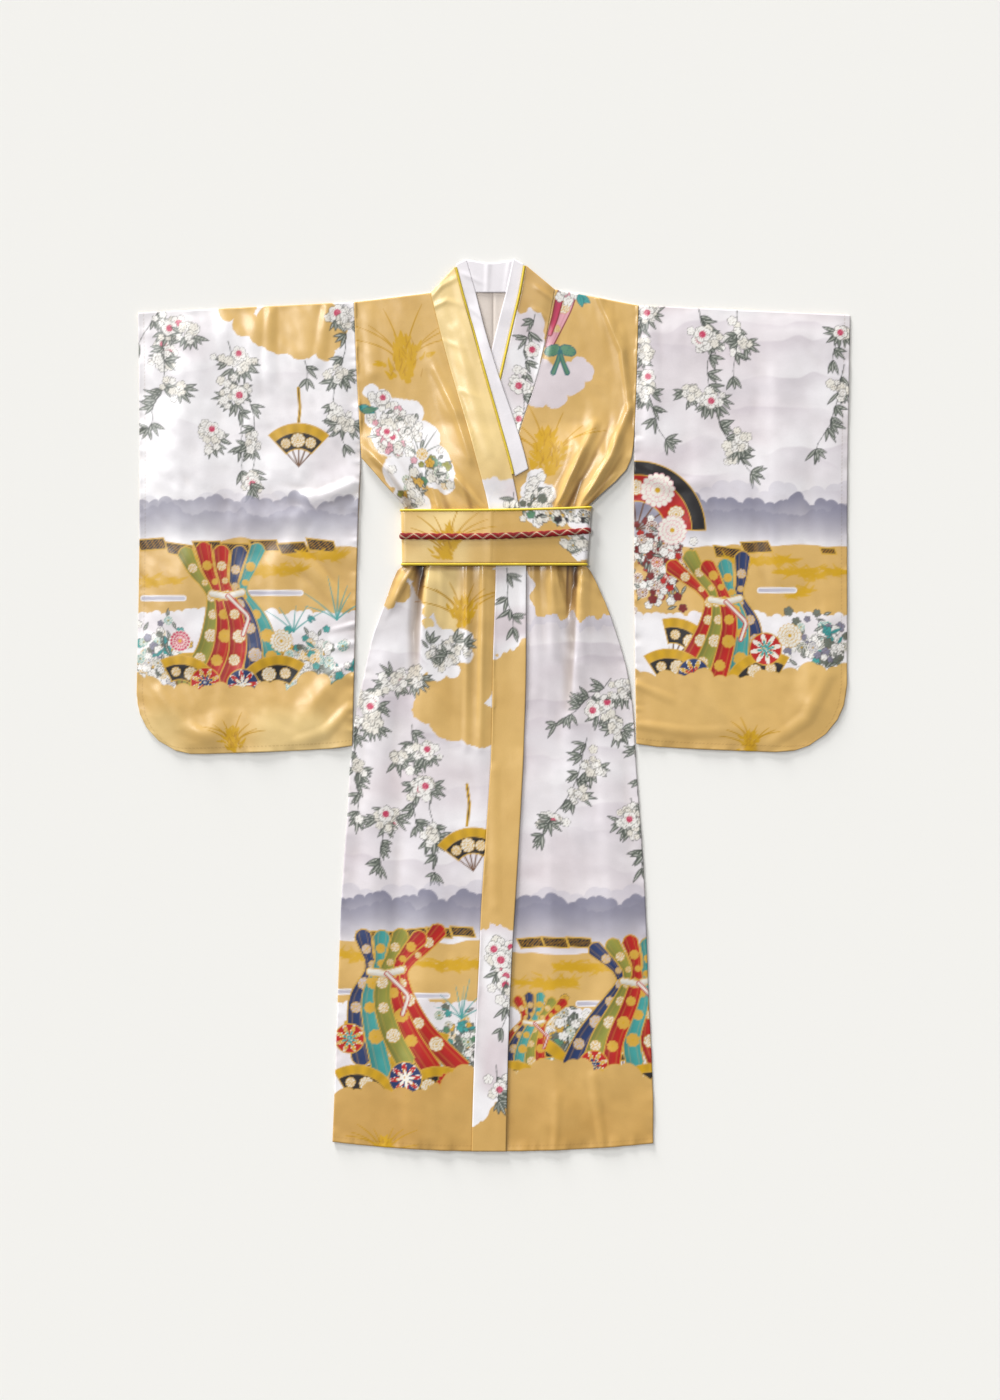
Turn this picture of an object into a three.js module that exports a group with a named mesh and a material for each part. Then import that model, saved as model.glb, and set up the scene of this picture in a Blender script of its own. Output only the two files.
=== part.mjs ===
import * as THREE from "three";

// A satin yukata with its own belt, laid flat on its back and wrapped closed.
// Millimetres. x runs across the garment, y from hem to neck and z up from the surface it lies on.
// The origin is on that surface, under the middle of the garment. "Left" is the side at -x.

// Driving dimensions
const hemY = -669; // middle of the hem
const hemCorner = { left: -655, right: -657 }; // the hem rises a little towards the sides
const neckY = 620; // back neckline
const collarTopY = 669; // highest point of the inner collar
const shoulderY = { left: 604, right: 599 }; // at the sleeve seams
const sleeveTipY = { left: 588, right: 584.5 }; // top of each sleeve at its outer edge
const sleeveCorner = { left: 92, right: 104 }; // radius of the rounded lower corner
const sleeveEnd = { left: { inner: -61, outer: -76 }, right: { inner: -58, outer: -73.5 } };
const braidWidth = 9.5;
const braidHigh = 3.4;

// Belt: its two edges, and how much the upper one climbs towards the right
const obiTop = { y: 289.7, half: 142.5, middle: 3.75 };
const obiBottom = { y: 212.3, half: 138.6, middle: 1.5 };
const obiClimb = 4.5;

// Cloth
const clothThick = 1.1; // one wall of satin
const bandThick = 1.5; // collar bands, folded double
const obiThick = 1.7; // belt, with its stiffener
const layerGap = 0.3; // between cloths that lie on each other, and across a seam
const pipeRadius = 1.7; // corded edging of the collar
const obiPipeRadius = 1.5;

// Side seams of the body, with the waist drawn in by the belt
const bodySide = [
  { y: 606, left: -209, right: 217.5 },
  { y: 500, left: -205, right: 214.5 },
  { y: 400, left: -199.5, right: 210.5 },
  { y: 372, left: -198, right: 207 },
  { y: 353, left: -182, right: 199 },
  { y: 322, left: -155.5, right: 167.5 },
  { y: 298, left: -133, right: 141.5 },
  { y: 252, left: -131, right: 134 },
  { y: 210, left: -133.5, right: 136 },
  { y: 202, left: -143.5, right: 144.3 },
  { y: 176, left: -154, right: 157 },
  { y: 147, left: -164.5, right: 170 },
  { y: 106, left: -180, right: 184 },
  { y: 69, left: -189, right: 195.8 },
  { y: 30, left: -197, right: 204 },
  { y: -27, left: -208.6, right: 210.5 },
  { y: -63, left: -210.6, right: 211.8 },
  { y: -90, left: -215, right: 213.5 },
  { y: -167, left: -219, right: 219 },
  { y: -282, left: -227.5, right: 227 },
  { y: -417, left: -232.5, right: 231.5 },
  { y: -615, left: -239.5, right: 239.5 },
  { y: -670, left: -242, right: 239 },
];

// Inner edge of each sleeve: the armhole seam, then the open edge below it
const sleeveInner = [
  { y: 606, left: -209, right: 217.5 },
  { y: 500, left: -205, right: 214.5 },
  { y: 400, left: -199.5, right: 211 },
  { y: 372, left: -198.8, right: 210.6 },
  { y: 307, left: -202, right: 210.2 },
  { y: 202, left: -205, right: 210.5 },
  { y: -61, left: -211.6, right: 214 },
];

// Outer edge of each sleeve
const sleeveOuter = [
  { y: 588, left: -533, right: 535 },
  { y: 480, left: -531.5, right: 533 },
  { y: 279, left: -530.5, right: 530.5 },
  { y: -75, left: -535, right: 530 },
];

// Collar band of the front that lies on top: its seam, its inner edge and the inner collar's edge
const leftCollar = [
  { y: 657, seam: -103, inner: -58.5, white: -38 },
  { y: 618, seam: -94, inner: -48.5, white: -27 },
  { y: 561, seam: -80, inner: -32, white: -12.8 },
  { y: 491, seam: -61, inner: -13, white: 8.5 },
  { y: 411, seam: -37, inner: 10, white: 36 },
  { y: 353, seam: -21.5, inner: 26, white: 52 },
  { y: 298, seam: -7.5, inner: 37.5, white: 62 },
  { y: 208, seam: 3.5, inner: 48.7, white: 70 },
  { y: 69, seam: -0.5, inner: 48.5, white: 70 },
  { y: -67, seam: -3, inner: 45, white: 70 },
  { y: -167, seam: -9, inner: 40, white: 60 },
  { y: -300, seam: -18, inner: 32, white: 50 },
  { y: -391, seam: -21.5, inner: 26.5, white: 45 },
  { y: -541, seam: -29, inner: 21, white: 40 },
  { y: -668, seam: -32.5, inner: 18.5, white: 40 },
];

// The same for the front that lies beneath; below the crossing it is covered
const rightCollar = [
  { y: 665, seam: 99, inner: 49.5, white: 29 },
  { y: 625, seam: 92, inner: 42.8, white: 20.5 },
  { y: 582, seam: 84.5, inner: 33, white: 9.5 },
  { y: 533, seam: 75, inner: 21.5, white: -2.5 },
  { y: 490, seam: 65, inner: 11.8, white: -11 },
  { y: 450, seam: 51, inner: 2, white: -21 },
  { y: 405, seam: 37, inner: -9, white: -32 },
  { y: 350, seam: 25, inner: -22, white: -45 },
  { y: 298, seam: 15, inner: -32, white: -56 },
  { y: 208, seam: 6, inner: -42, white: -66 },
  { y: 69, seam: 2, inner: -47, white: -70 },
  { y: -300, seam: 1, inner: -48, white: -72 },
  { y: -668, seam: 0, inner: -49, white: -74 },
];

// Folds: the stations of each crest, its height there and how far it spreads to either side
const leftFrontFolds = [
  // flap beside the belt and the inverted pleat next to it
  [
    { x: -116, y: 214, high: 5.5, west: 32, east: 8 },
    { x: -146, y: 160, high: 3, west: 24, east: 9 },
  ],
  [
    { x: -99, y: 214, high: 6, west: 8, east: 58 },
    { x: -107, y: 155, high: 5.5, west: 9, east: 60 },
    { x: -109, y: 70, high: 4, west: 13, east: 55 },
    { x: -111, y: -60, high: 1, west: 26, east: 45 },
  ],
  // upright folds beside the front edge
  [
    { x: -43, y: 206, high: 2.5, west: 16, east: 13 },
    { x: -41, y: -70, high: 0.8, west: 18, east: 14 },
  ],
  [
    { x: -13, y: 208, high: 3.6, west: 14, east: 15 },
    { x: -17, y: 60, high: 2.8, west: 14, east: 14 },
    { x: -22, y: -120, high: 0.8, west: 18, east: 14 },
  ],
  // long soft waves of the skirt
  [
    { x: -163, y: 70, high: 2.4, west: 20, east: 24 },
    { x: -176, y: -160, high: 3, west: 30, east: 34 },
    { x: -186, y: -560, high: 2, west: 30, east: 36 },
  ],
  [
    { x: -96, y: -150, high: 1.2, west: 30, east: 34 },
    { x: -104, y: -420, high: 2.4, west: 34, east: 36 },
    { x: -110, y: -640, high: 2, west: 34, east: 36 },
  ],
  // bodice: beside the collar, into the belt and along the side
  [
    { x: -86, y: 520, high: 1.5, west: 22, east: 14 },
    { x: -58, y: 440, high: 3, west: 22, east: 12 },
    { x: -36, y: 380, high: 2, west: 20, east: 12 },
  ],
  [
    { x: -70, y: 352, high: 1.5, west: 16, east: 14 },
    { x: -20, y: 296, high: 3.6, west: 13, east: 12 },
  ],
  [
    { x: -178, y: 402, high: 2, west: 16, east: 18 },
    { x: -150, y: 348, high: 4.5, west: 13, east: 16 },
    { x: -112, y: 298, high: 4, west: 12, east: 14 },
  ],
  [
    { x: -122, y: 384, high: 1.5, west: 20, east: 20 },
    { x: -78, y: 300, high: 3.2, west: 13, east: 13 },
  ],
];

const rightFrontFolds = [
  // two sides of the pleat below the belt
  [
    { x: 92, y: 214, high: 4.5, west: 36, east: 9 },
    { x: 97, y: 140, high: 3.6, west: 38, east: 10 },
    { x: 86, y: -20, high: 1.6, west: 34, east: 18 },
  ],
  [
    { x: 128, y: 212, high: 5.5, west: 8, east: 26 },
    { x: 125, y: 172, high: 5.5, west: 9, east: 40 },
    { x: 128, y: 120, high: 4.6, west: 10, east: 50 },
    { x: 119, y: 20, high: 3, west: 15, east: 50 },
    { x: 115, y: -150, high: 1, west: 28, east: 44 },
  ],
  // long soft waves of the skirt
  [
    { x: 168, y: 40, high: 2, west: 24, east: 20 },
    { x: 176, y: -200, high: 3, west: 34, east: 30 },
    { x: 184, y: -560, high: 2, west: 36, east: 30 },
  ],
  [
    { x: 84, y: -200, high: 2, west: 26, east: 30 },
    { x: 88, y: -420, high: 2.4, west: 30, east: 34 },
    { x: 96, y: -640, high: 1.6, west: 30, east: 34 },
  ],
  // bodice: two deep folds gathered into the belt
  [
    { x: 199, y: 440, high: 2, west: 16, east: 10 },
    { x: 180, y: 378, high: 5, west: 15, east: 13 },
    { x: 126, y: 297, high: 5.5, west: 11, east: 13 },
  ],
  [
    { x: 150, y: 424, high: 2, west: 18, east: 16 },
    { x: 124, y: 366, high: 4.8, west: 14, east: 12 },
    { x: 94, y: 297, high: 5, west: 11, east: 11 },
  ],
  [
    { x: 160, y: 604, high: 1.4, west: 16, east: 10 },
    { x: 190, y: 545, high: 2.6, west: 16, east: 12 },
    { x: 196, y: 480, high: 1, west: 16, east: 10 },
  ],
];

const leftSleeveFolds = [
  [
    { x: -300, y: -62, high: 2, west: 26, east: 20 },
    { x: -262, y: 8, high: 4.5, west: 24, east: 18 },
    { x: -226, y: 84, high: 2.5, west: 20, east: 12 },
  ],
  [
    { x: -500, y: 20, high: 1.5, west: 24, east: 26 },
    { x: -420, y: -46, high: 3.5, west: 26, east: 30 },
  ],
  [
    { x: -352, y: 586, high: 2.2, west: 16, east: 16 },
    { x: -356, y: 500, high: 1.2, west: 22, east: 22 },
  ],
  [
    { x: -214, y: 332, high: 2.2, west: 22, east: 26 },
    { x: -300, y: 286, high: 3, west: 26, east: 26 },
    { x: -390, y: 282, high: 1, west: 26, east: 26 },
  ],
  [
    { x: -486, y: 520, high: 1.2, west: 26, east: 30 },
    { x: -470, y: 330, high: 3, west: 34, east: 36 },
    { x: -476, y: 150, high: 2, west: 34, east: 36 },
  ],
  [
    { x: -330, y: 210, high: 1.6, west: 34, east: 34 },
    { x: -346, y: 60, high: 3, west: 36, east: 36 },
  ],
];

const rightSleeveFolds = [
  [
    { x: 262, y: 580, high: 2.4, west: 16, east: 20 },
    { x: 256, y: 470, high: 1.4, west: 22, east: 26 },
  ],
  [
    { x: 420, y: 540, high: 1.4, west: 36, east: 36 },
    { x: 434, y: 380, high: 2.8, west: 40, east: 40 },
    { x: 420, y: 200, high: 1.6, west: 40, east: 40 },
  ],
  [
    { x: 300, y: 150, high: 1.6, west: 34, east: 34 },
    { x: 318, y: 20, high: 3, west: 36, east: 36 },
    { x: 360, y: -44, high: 2, west: 26, east: 30 },
  ],
  [
    { x: 500, y: 120, high: 2, west: 30, east: 22 },
    { x: 478, y: 10, high: 3, west: 34, east: 24 },
  ],
];

// Rows along the fronts stand closer together where the belt gathers the cloth
const frontRows = [
  [606, 33],
  [440, 17.5],
  [335, 18],
  [299, 44.5],
  [210, 8],
  [202, 16],
  [90, 30],
  [-90, 72],
];

const gold = 0xd9b06a;
const white = 0xe9e2e6;
const colours = {
  print: 0xdcc196,
  inside: 0xe6dccd,
  collar: gold,
  innerCollar: white,
  piping: 0xe3c93a,
  obi: gold,
  braid: 0x8e1b1d,
};

const lerp = THREE.MathUtils.lerp;
const clamp = THREE.MathUtils.clamp;
// 0 at `from`, 1 at `to`, eased between them; `to` may be the smaller of the two
const smooth = (from, to, value) => {
  const t = clamp((value - from) / (to - from), 0, 1);
  return t * t * (3 - 2 * t);
};

// One column of a table as a curve through its rows: the value at height y, with no overshoot
function at(table, key, y) {
  const last = table.length - 1;
  const slope = (i) => (table[i + 1][key] - table[i][key]) / (table[i + 1].y - table[i].y);
  const bend = (i) => {
    if (i === 0) return slope(0);
    if (i === last) return slope(last - 1);
    const [a, b] = [slope(i - 1), slope(i)];
    return a * b > 0 ? (2 * a * b) / (a + b) : 0;
  };
  if (y >= table[0].y) return table[0][key] + bend(0) * (y - table[0].y);
  if (y <= table[last].y) return table[last][key] + bend(last) * (y - table[last].y);
  const i = table.findIndex((row) => row.y < y) - 1;
  const span = table[i + 1].y - table[i].y;
  const t = (y - table[i].y) / span;
  const rise = 3 * t * t - 2 * t * t * t;
  return (
    lerp(table[i][key], table[i + 1][key], rise) +
    span * (bend(i) * t * (1 - t) * (1 - t) - bend(i + 1) * t * t * (1 - t))
  );
}

const foldEnd = 22; // how far a fold runs out past its last station

// How high one fold stands at a point: full at the crest, and nothing past its west or east spread
function foldHeight(stations, x, y) {
  let nearest = Infinity;
  let height = 0;
  for (let i = 0; i + 1 < stations.length; i++) {
    const [a, b] = [stations[i], stations[i + 1]];
    const [dx, dy] = [b.x - a.x, b.y - a.y];
    const length = Math.hypot(dx, dy);
    const along = ((x - a.x) * dx + (y - a.y) * dy) / length;
    const t = clamp(along / length, 0, 1);
    const aside = ((y - a.y) * dx - (x - a.x) * dy) / length;
    const past = Math.max(-along, along - length, 0);
    const distance = Math.hypot(aside, past);
    if (distance >= nearest) continue;
    nearest = distance;
    const spread = aside > 0 ? lerp(a.east, b.east, t) : lerp(a.west, b.west, t);
    const across = clamp(1 - (aside / spread) ** 2, 0, 1) ** 2;
    const end = clamp(1 - (past / foldEnd) ** 2, 0, 1) ** 2;
    height = lerp(a.high, b.high, t) * across * end;
  }
  return height;
}

const foldsHeight = (folds, x, y) => folds.reduce((sum, fold) => sum + foldHeight(fold, x, y), 0);

// How high a laid cloth's upper side is, on a square grid in plan
const mapCell = 4;
const mapWide = Math.ceil(1140 / mapCell);
const mapDeep = Math.ceil(1400 / mapCell);
const drapeFall = 0.12; // how steeply a cloth comes down beside what it lies on
const drapeReach = 28;

class HeightMap {
  cells = new Float32Array(mapWide * mapDeep).fill(-Infinity);

  // Takes in the triangles of a surface, as points close enough together to miss no cell
  cover(points, triangles) {
    const spot = new THREE.Vector3();
    for (const [a, b, c] of triangles) {
      const [p, q, r] = [points[a], points[b], points[c]];
      const longest = Math.max(p.distanceTo(q), q.distanceTo(r), r.distanceTo(p));
      const count = Math.ceil(longest / (mapCell * 0.6));
      for (let i = 0; i <= count; i++)
        for (let j = 0; j <= count - i; j++) {
          spot.copy(p).multiplyScalar(1 - (i + j) / count);
          spot.addScaledVector(q, i / count).addScaledVector(r, j / count);
          this.raise(spot.x, spot.y, spot.z);
        }
    }
    return this;
  }

  raise(x, y, z) {
    const column = Math.floor(x / mapCell + mapWide / 2);
    const index = column * mapDeep + Math.floor(y / mapCell + mapDeep / 2);
    this.cells[index] = Math.max(this.cells[index], z);
  }

  // The height a cloth needs at a point to stay clear, if its own cells are `reach` across
  clear(x, y, reach) {
    const near = reach + mapCell;
    const far = near + drapeReach;
    const [column, row] = [x / mapCell + mapWide / 2, y / mapCell + mapDeep / 2];
    const span = far / mapCell;
    let highest = -Infinity;
    for (let i = Math.max(0, Math.floor(column - span)); i <= column + span && i < mapWide; i++)
      for (let j = Math.max(0, Math.floor(row - span)); j <= row + span && j < mapDeep; j++) {
        const z = this.cells[i * mapDeep + j];
        if (z <= highest) continue;
        const distance = Math.hypot(i + 0.5 - column, j + 0.5 - row) * mapCell;
        if (distance > far) continue;
        highest = Math.max(highest, z - drapeFall * Math.max(0, distance - near));
      }
    return highest;
  }
}

const laid = {}; // the height map of each piece that others lie on
const yukata = new THREE.Group();

const restHeight = (names, x, y, reach) =>
  names.reduce((z, name) => Math.max(z, laid[name].clear(x, y, reach) + layerGap), 0);

function addPiece(name, colour, points, triangles, material = {}) {
  const geometry = new THREE.BufferGeometry().setFromPoints(points);
  geometry.setIndex(triangles.flat());
  geometry.computeVertexNormals();
  const finish = { color: colour, roughness: 0.42, metalness: 0, ...material };
  const mesh = new THREE.Mesh(geometry, new THREE.MeshStandardMaterial(finish));
  mesh.name = name;
  yukata.add(mesh);
}

const steps = (count, from = 0, to = 1) =>
  Array.from({ length: count + 1 }, (_, i) => lerp(from, to, i / count));
const whole = (from, to) =>
  Array.from({ length: Math.abs(to - from) + 1 }, (_, i) => from + i * Math.sign(to - from));

// Heights down a panel: each part starts at its first number and has about the second between rows
function rowsDown(parts, bottom) {
  const rows = parts.flatMap(([from, gap], i) => {
    const end = parts[i + 1]?.[0] ?? bottom;
    return steps(Math.max(1, Math.round((from - end) / gap)), from, end).slice(0, -1);
  });
  return [...rows, bottom];
}

// A wall of cloth over a grid: place(u, v) is a point of it in plan, `on` names what it lies on
// and relief(x, y) is how far it stands off that.
function cloth(name, colour, { across, along, place, on = [], relief = () => 0, thick = clothThick }) {
  const [wide, deep] = [across.length, along.length];
  const under = along.flatMap((v) => across.map((u) => new THREE.Vector3(...place(u, v), 0)));
  const id = (c, r) => clamp(r, 0, deep - 1) * wide + clamp(c, 0, wide - 1);
  const spot = (i) => [i % wide, Math.floor(i / wide)];
  const reaches = under.map((p, i) => {
    const [c, r] = spot(i);
    const corners = [id(c - 1, r - 1), id(c + 1, r - 1), id(c - 1, r + 1), id(c + 1, r + 1)];
    return Math.max(...corners.map((corner) => p.distanceTo(under[corner])));
  });
  under.forEach((p, i) => {
    p.z = restHeight(on, p.x, p.y, reaches[i]) + relief(p.x, p.y);
  });

  // The upper side stands off by the thickness, measured square to the cloth
  const [alongEdge, acrossEdge] = [new THREE.Vector3(), new THREE.Vector3()];
  const upper = under.map((p, i) => {
    const [c, r] = spot(i);
    acrossEdge.subVectors(under[id(c + 1, r)], under[id(c - 1, r)]);
    alongEdge.subVectors(under[id(c, r + 1)], under[id(c, r - 1)]);
    const level = Math.abs(acrossEdge.cross(alongEdge).normalize().z);
    return new THREE.Vector3(p.x, p.y, p.z + thick / Math.max(level, 0.5));
  });

  const count = under.length;
  const points = [...under, ...upper];
  const faces = [];
  const cover = [];
  const quad = (a, b, c, d) => faces.push([a, b, c], [a, c, d]);
  for (const r of whole(0, deep - 2))
    for (const c of whole(0, wide - 2)) {
      const ring = [id(c, r), id(c, r + 1), id(c + 1, r + 1), id(c + 1, r)];
      const [a, b, d, e] = ring.map((i) => i + count);
      quad(a, b, d, e);
      cover.push([a, b, d], [a, d, e]);
      quad(...ring.reverse());
    }
  const rim = [
    ...whole(0, wide - 2).map((c) => id(c, 0)),
    ...whole(0, deep - 2).map((r) => id(wide - 1, r)),
    ...whole(wide - 1, 1).map((c) => id(c, deep - 1)),
    ...whole(deep - 1, 1).map((r) => id(0, r)),
  ];
  rim.forEach((a, i) => {
    const b = rim[(i + 1) % rim.length];
    quad(a, a + count, b + count, b);
  });

  // A panel whose u runs towards -x is turned the right way out
  const mirrored = under[wide - 1].x < under[0].x;
  addPiece(name, colour, points, mirrored ? faces.map((f) => [...f].reverse()) : faces);
  laid[name] = new HeightMap().cover(points, cover);
}

// A closed body through rings of points, with a flat cap at each end unless it meets itself
function loft(name, colour, rings, { closed = false, material } = {}) {
  const round = rings[0].length;
  const points = rings.flat();
  const faces = [];
  const last = closed ? rings.length : rings.length - 1;
  for (let r = 0; r < last; r++)
    for (let i = 0; i < round; i++) {
      const turn = (i + 1) % round;
      const after = (r + 1) % rings.length;
      const [a, b] = [r * round + i, r * round + turn];
      const [c, d] = [after * round + turn, after * round + i];
      faces.push([a, b, c], [a, c, d]);
    }
  const end = last * round;
  if (!closed)
    for (let i = 1; i + 1 < round; i++) faces.push([0, i + 1, i], [end, end + i, end + i + 1]);
  addPiece(name, colour, points, faces, material);
  laid[name] = new HeightMap().cover(points, faces);
}

// A ring of points round the middle of a cord: `side` is across it and `up` stands off what it lies on
function ring(middle, side, up, { wide, high, sides }) {
  return whole(0, sides - 1).map((i) => {
    const angle = (i / sides) * Math.PI * 2;
    return middle
      .clone()
      .addScaledVector(side, (Math.cos(angle) * wide) / 2)
      .addScaledVector(up, (Math.sin(angle) * high) / 2);
  });
}

const upright = new THREE.Vector3(0, 0, 1);
const alongOf = (points, i, closed) => {
  const wrap = (k) => (closed ? (k + points.length) % points.length : clamp(k, 0, points.length - 1));
  return points[wrap(i + 1)].clone().sub(points[wrap(i - 1)]).normalize();
};

// A cord laid along a line in plan, on the pieces named
function layCord(name, colour, line, on, shape) {
  const middles = line.map(([x, y]) => new THREE.Vector3(x, y, 0));
  const spacing = middles[0].distanceTo(middles[1]);
  for (const p of middles) p.z = restHeight(on, p.x, p.y, spacing) + shape.high / 2;
  const rings = middles.map((p, i) => {
    const side = upright.clone().cross(alongOf(middles, i)).normalize();
    return ring(p, side, upright, shape);
  });
  loft(name, colour, rings);
}

// Body: top and hem edges
const shoulderLine = [
  { y: 218, top: shoulderY.right },
  { y: 92, top: 622 },
  { y: 60, top: neckY },
  { y: -60, top: neckY },
  { y: -94, top: 618 },
  { y: -209, top: shoulderY.left },
];
const shoulderTop = (x) => at(shoulderLine, "top", x);
const hemHalf = 240;
const hemAt = (x) => {
  const corner = x < 0 ? hemCorner.left : hemCorner.right;
  return hemY + (corner - hemY) * (Math.abs(x) / hemHalf) ** 2.2;
};

// A row's height at one place across, where the panel's ends slant away from its first and last row
const slantReach = 110;
const slant = (y, [top, topAt], [end, endAt]) =>
  y + (topAt - top) * smooth(top - slantReach, top, y) + (endAt - end) * smooth(end + slantReach, end, y);

// A panel's place function, from its two long edges and the two ends they slant between
const panelPlace = (edgeA, edgeB, [top, topAt], endAt) => (u, v) => {
  const guess = lerp(edgeA(v), edgeB(v), u);
  const y = slant(v, [top, topAt(u, guess)], [hemY, endAt(guess)]);
  return [lerp(edgeA(y), edgeB(y), u), y];
};

// Folds are pressed down under the belt
const flatten = (y) =>
  1 - 0.85 * smooth(obiBottom.y - 16, obiBottom.y - 2.5, y) * smooth(obiTop.y + 22, obiTop.y + 6, y);

// Where the front that lies on top ends, so that the one beneath it can lie flat there
const innerCollarLowY = 353; // below this the inner collar is covered
const coverEdge = (y) => at(leftCollar, y > innerCollarLowY ? "white" : "inner", y);
const seamFade = (x, y) =>
  smooth(0, 16, x - at(bodySide, "left", y)) * smooth(0, 16, at(bodySide, "right", y) - x);
const leftRelief = (x, y) => foldsHeight(leftFrontFolds, x, y) * seamFade(x, y) * flatten(y);
const rightRelief = (x, y) =>
  foldsHeight(rightFrontFolds, x, y) * seamFade(x, y) * flatten(y) * smooth(2, 26, x - coverEdge(y));

// The belt as a flattened ring: one half of its section, from one side over the top (or under the
// bottom) to the other. v runs up the belt, `grow` is how far out of its inside the points are.
const obiCorner = 3.2;
const obiCrown = 0.8; // the belt swells a little in the middle
const obiCrownSpan = 1.4; // and this little at its sides, as an angle from the crown
function obiHalf(v, grow, high, front, straight) {
  const half = lerp(obiBottom.half, obiTop.half, v) - obiThick + grow;
  const [low, top] = [obiThick - grow, high + grow];
  const corner = obiCorner + grow;
  const middle = lerp(obiBottom.middle, obiTop.middle, v);
  const climb = (x) => clamp(v, 0, 1) * obiClimb * ((x / half + 1) / 2) ** 3;
  const row = (x, z) => new THREE.Vector3(x + middle, lerp(obiBottom.y, obiTop.y, v) + climb(x), z);
  const [x, z, sign] = front ? [half - corner, top - corner, 1] : [corner - half, low + corner, -1];
  const arc = (cx, from) =>
    steps(3, from, from + Math.PI / 2).map((angle) =>
      row(cx + corner * Math.cos(angle), z + corner * Math.sin(angle)),
    );
  const crown = front ? obiCrown * Math.sin(Math.PI * clamp(v, 0, 1)) : 0;
  const swell = (t) => crown * Math.cos(t * obiCrownSpan);
  const flat = steps(straight, 1, -1)
    .slice(1, -1)
    .map((t) => row(t * x, (front ? top : low) + swell(t)));
  return [...arc(x, front ? 0 : Math.PI), ...flat, ...arc(-x, front ? Math.PI / 2 : (3 * Math.PI) / 2)];
}

// The back of the belt lies lowest, under the back panels, with its edging along both edges
const obiEdgeMiddle = obiThick / 2; // the edging is centred on the belt's wall
const edgingOut = (obiPipeRadius + layerGap) / (obiTop.y - obiBottom.y); // past the edge, as v
const backSamples = { up: 60, across: 150 }; // closer together than the cells of a height map
laid.obi_back = new HeightMap();
for (const v of steps(backSamples.up, -2 * edgingOut, 1 + 2 * edgingOut)) {
  const half = lerp(obiBottom.half, obiTop.half, v) - obiCorner;
  const middle = lerp(obiBottom.middle, obiTop.middle, v);
  const high = v < 0 || v > 1 ? obiPipeRadius * 2 : obiThick;
  for (const t of steps(backSamples.across, -1, 1)) {
    const climb = v > 0.9 ? obiClimb * ((t + 1) / 2) ** 3 : 0;
    laid.obi_back.raise(t * half + middle, lerp(obiBottom.y, obiTop.y, v) + climb, high);
  }
}

const backRows = rowsDown([[neckY, 34], [330, 20], [170, 62]], hemY);
const backInset = 1; // the back ends just inside the fronts
for (const [side, sign] of [["left", -1], ["right", 1]])
  cloth(`back_${side}`, colours.inside, {
    across: steps(5),
    along: backRows,
    on: ["obi_back"],
    place: panelPlace(
      (y) => at(bodySide, side, y) - sign * backInset,
      () => (sign * layerGap) / 2,
      [neckY, (u, x) => shoulderTop(x)],
      hemAt,
    ),
  });

// Sleeves: a back wall on the surface and a front wall on it, closed along the top, the outer
// edge and the rounded bottom, and open along the inner edge below the armhole
const sleeveGap = 0.6; // keeps the sleeve clear of the body's edge
const sleeveWide = 325;
const sleevePuff = 1.6; // how far the middle of the front wall stands off the back wall
const armholeY = 380; // the sleeve is sewn to the body above this
function sleeveShape(side) {
  const sign = side === "left" ? -1 : 1;
  const [radius, end] = [sleeveCorner[side], sleeveEnd[side]];
  const inner = (y) => at(sleeveInner, side, y) + sign * sleeveGap;
  const outer = (y) => at(sleeveOuter, side, y);
  const top = (u) => lerp(shoulderY[side], sleeveTipY[side], u);
  const base = (u) => lerp(end.inner, end.outer, u ** 0.55);
  const bottom = (u, x) => {
    const toCorner = clamp(radius - Math.abs(outer(end.outer) - x), 0, radius);
    return base(u) + radius - Math.sqrt(radius ** 2 - toCorner ** 2);
  };
  return { sign, inner, outer, top, base, bottom };
}
function sleevePlace({ sign, inner, outer, top, base, bottom }, inset) {
  return (u, v) => {
    const level = lerp(top(u), base(u), v);
    const x = lerp(inner(level), outer(level) - sign * inset, u);
    return [x, lerp(top(u) - inset, bottom(u, x) + inset, v)];
  };
}
function sleeveRelief({ sign, inner, outer, top, bottom }, folds) {
  return (x, y) => {
    const u = clamp((sign * (x - inner(y))) / sleeveWide, 0, 1);
    const toInner = sign * (x - inner(y));
    const seam = y > armholeY ? smooth(0, 18, toInner) : smooth(-24, 22, toInner);
    const rim = smooth(0, 22, sign * (outer(y) - x)) * smooth(0, 20, top(u) - y);
    return (sleevePuff + foldsHeight(folds, x, y)) * rim * seam * smooth(0, 20, y - bottom(u, x));
  };
}
const cornerStops = [0.82, 0.9, 0.955, 0.985, 1];
const sleeves = { left: leftSleeveFolds, right: rightSleeveFolds };
for (const [side, folds] of Object.entries(sleeves)) {
  const shape = sleeveShape(side);
  cloth(`sleeve_back_${side}`, colours.print, {
    across: [...steps(3, 0, 0.72), ...cornerStops],
    along: steps(8),
    place: sleevePlace(shape, 1),
  });
  cloth(`sleeve_front_${side}`, colours.print, {
    across: [...steps(8, 0, 0.75), ...cornerStops],
    along: [...steps(18, 0, 0.95), 1],
    place: sleevePlace(shape, 0),
    on: [`sleeve_back_${side}`],
    relief: sleeveRelief(shape, folds),
  });
}

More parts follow.
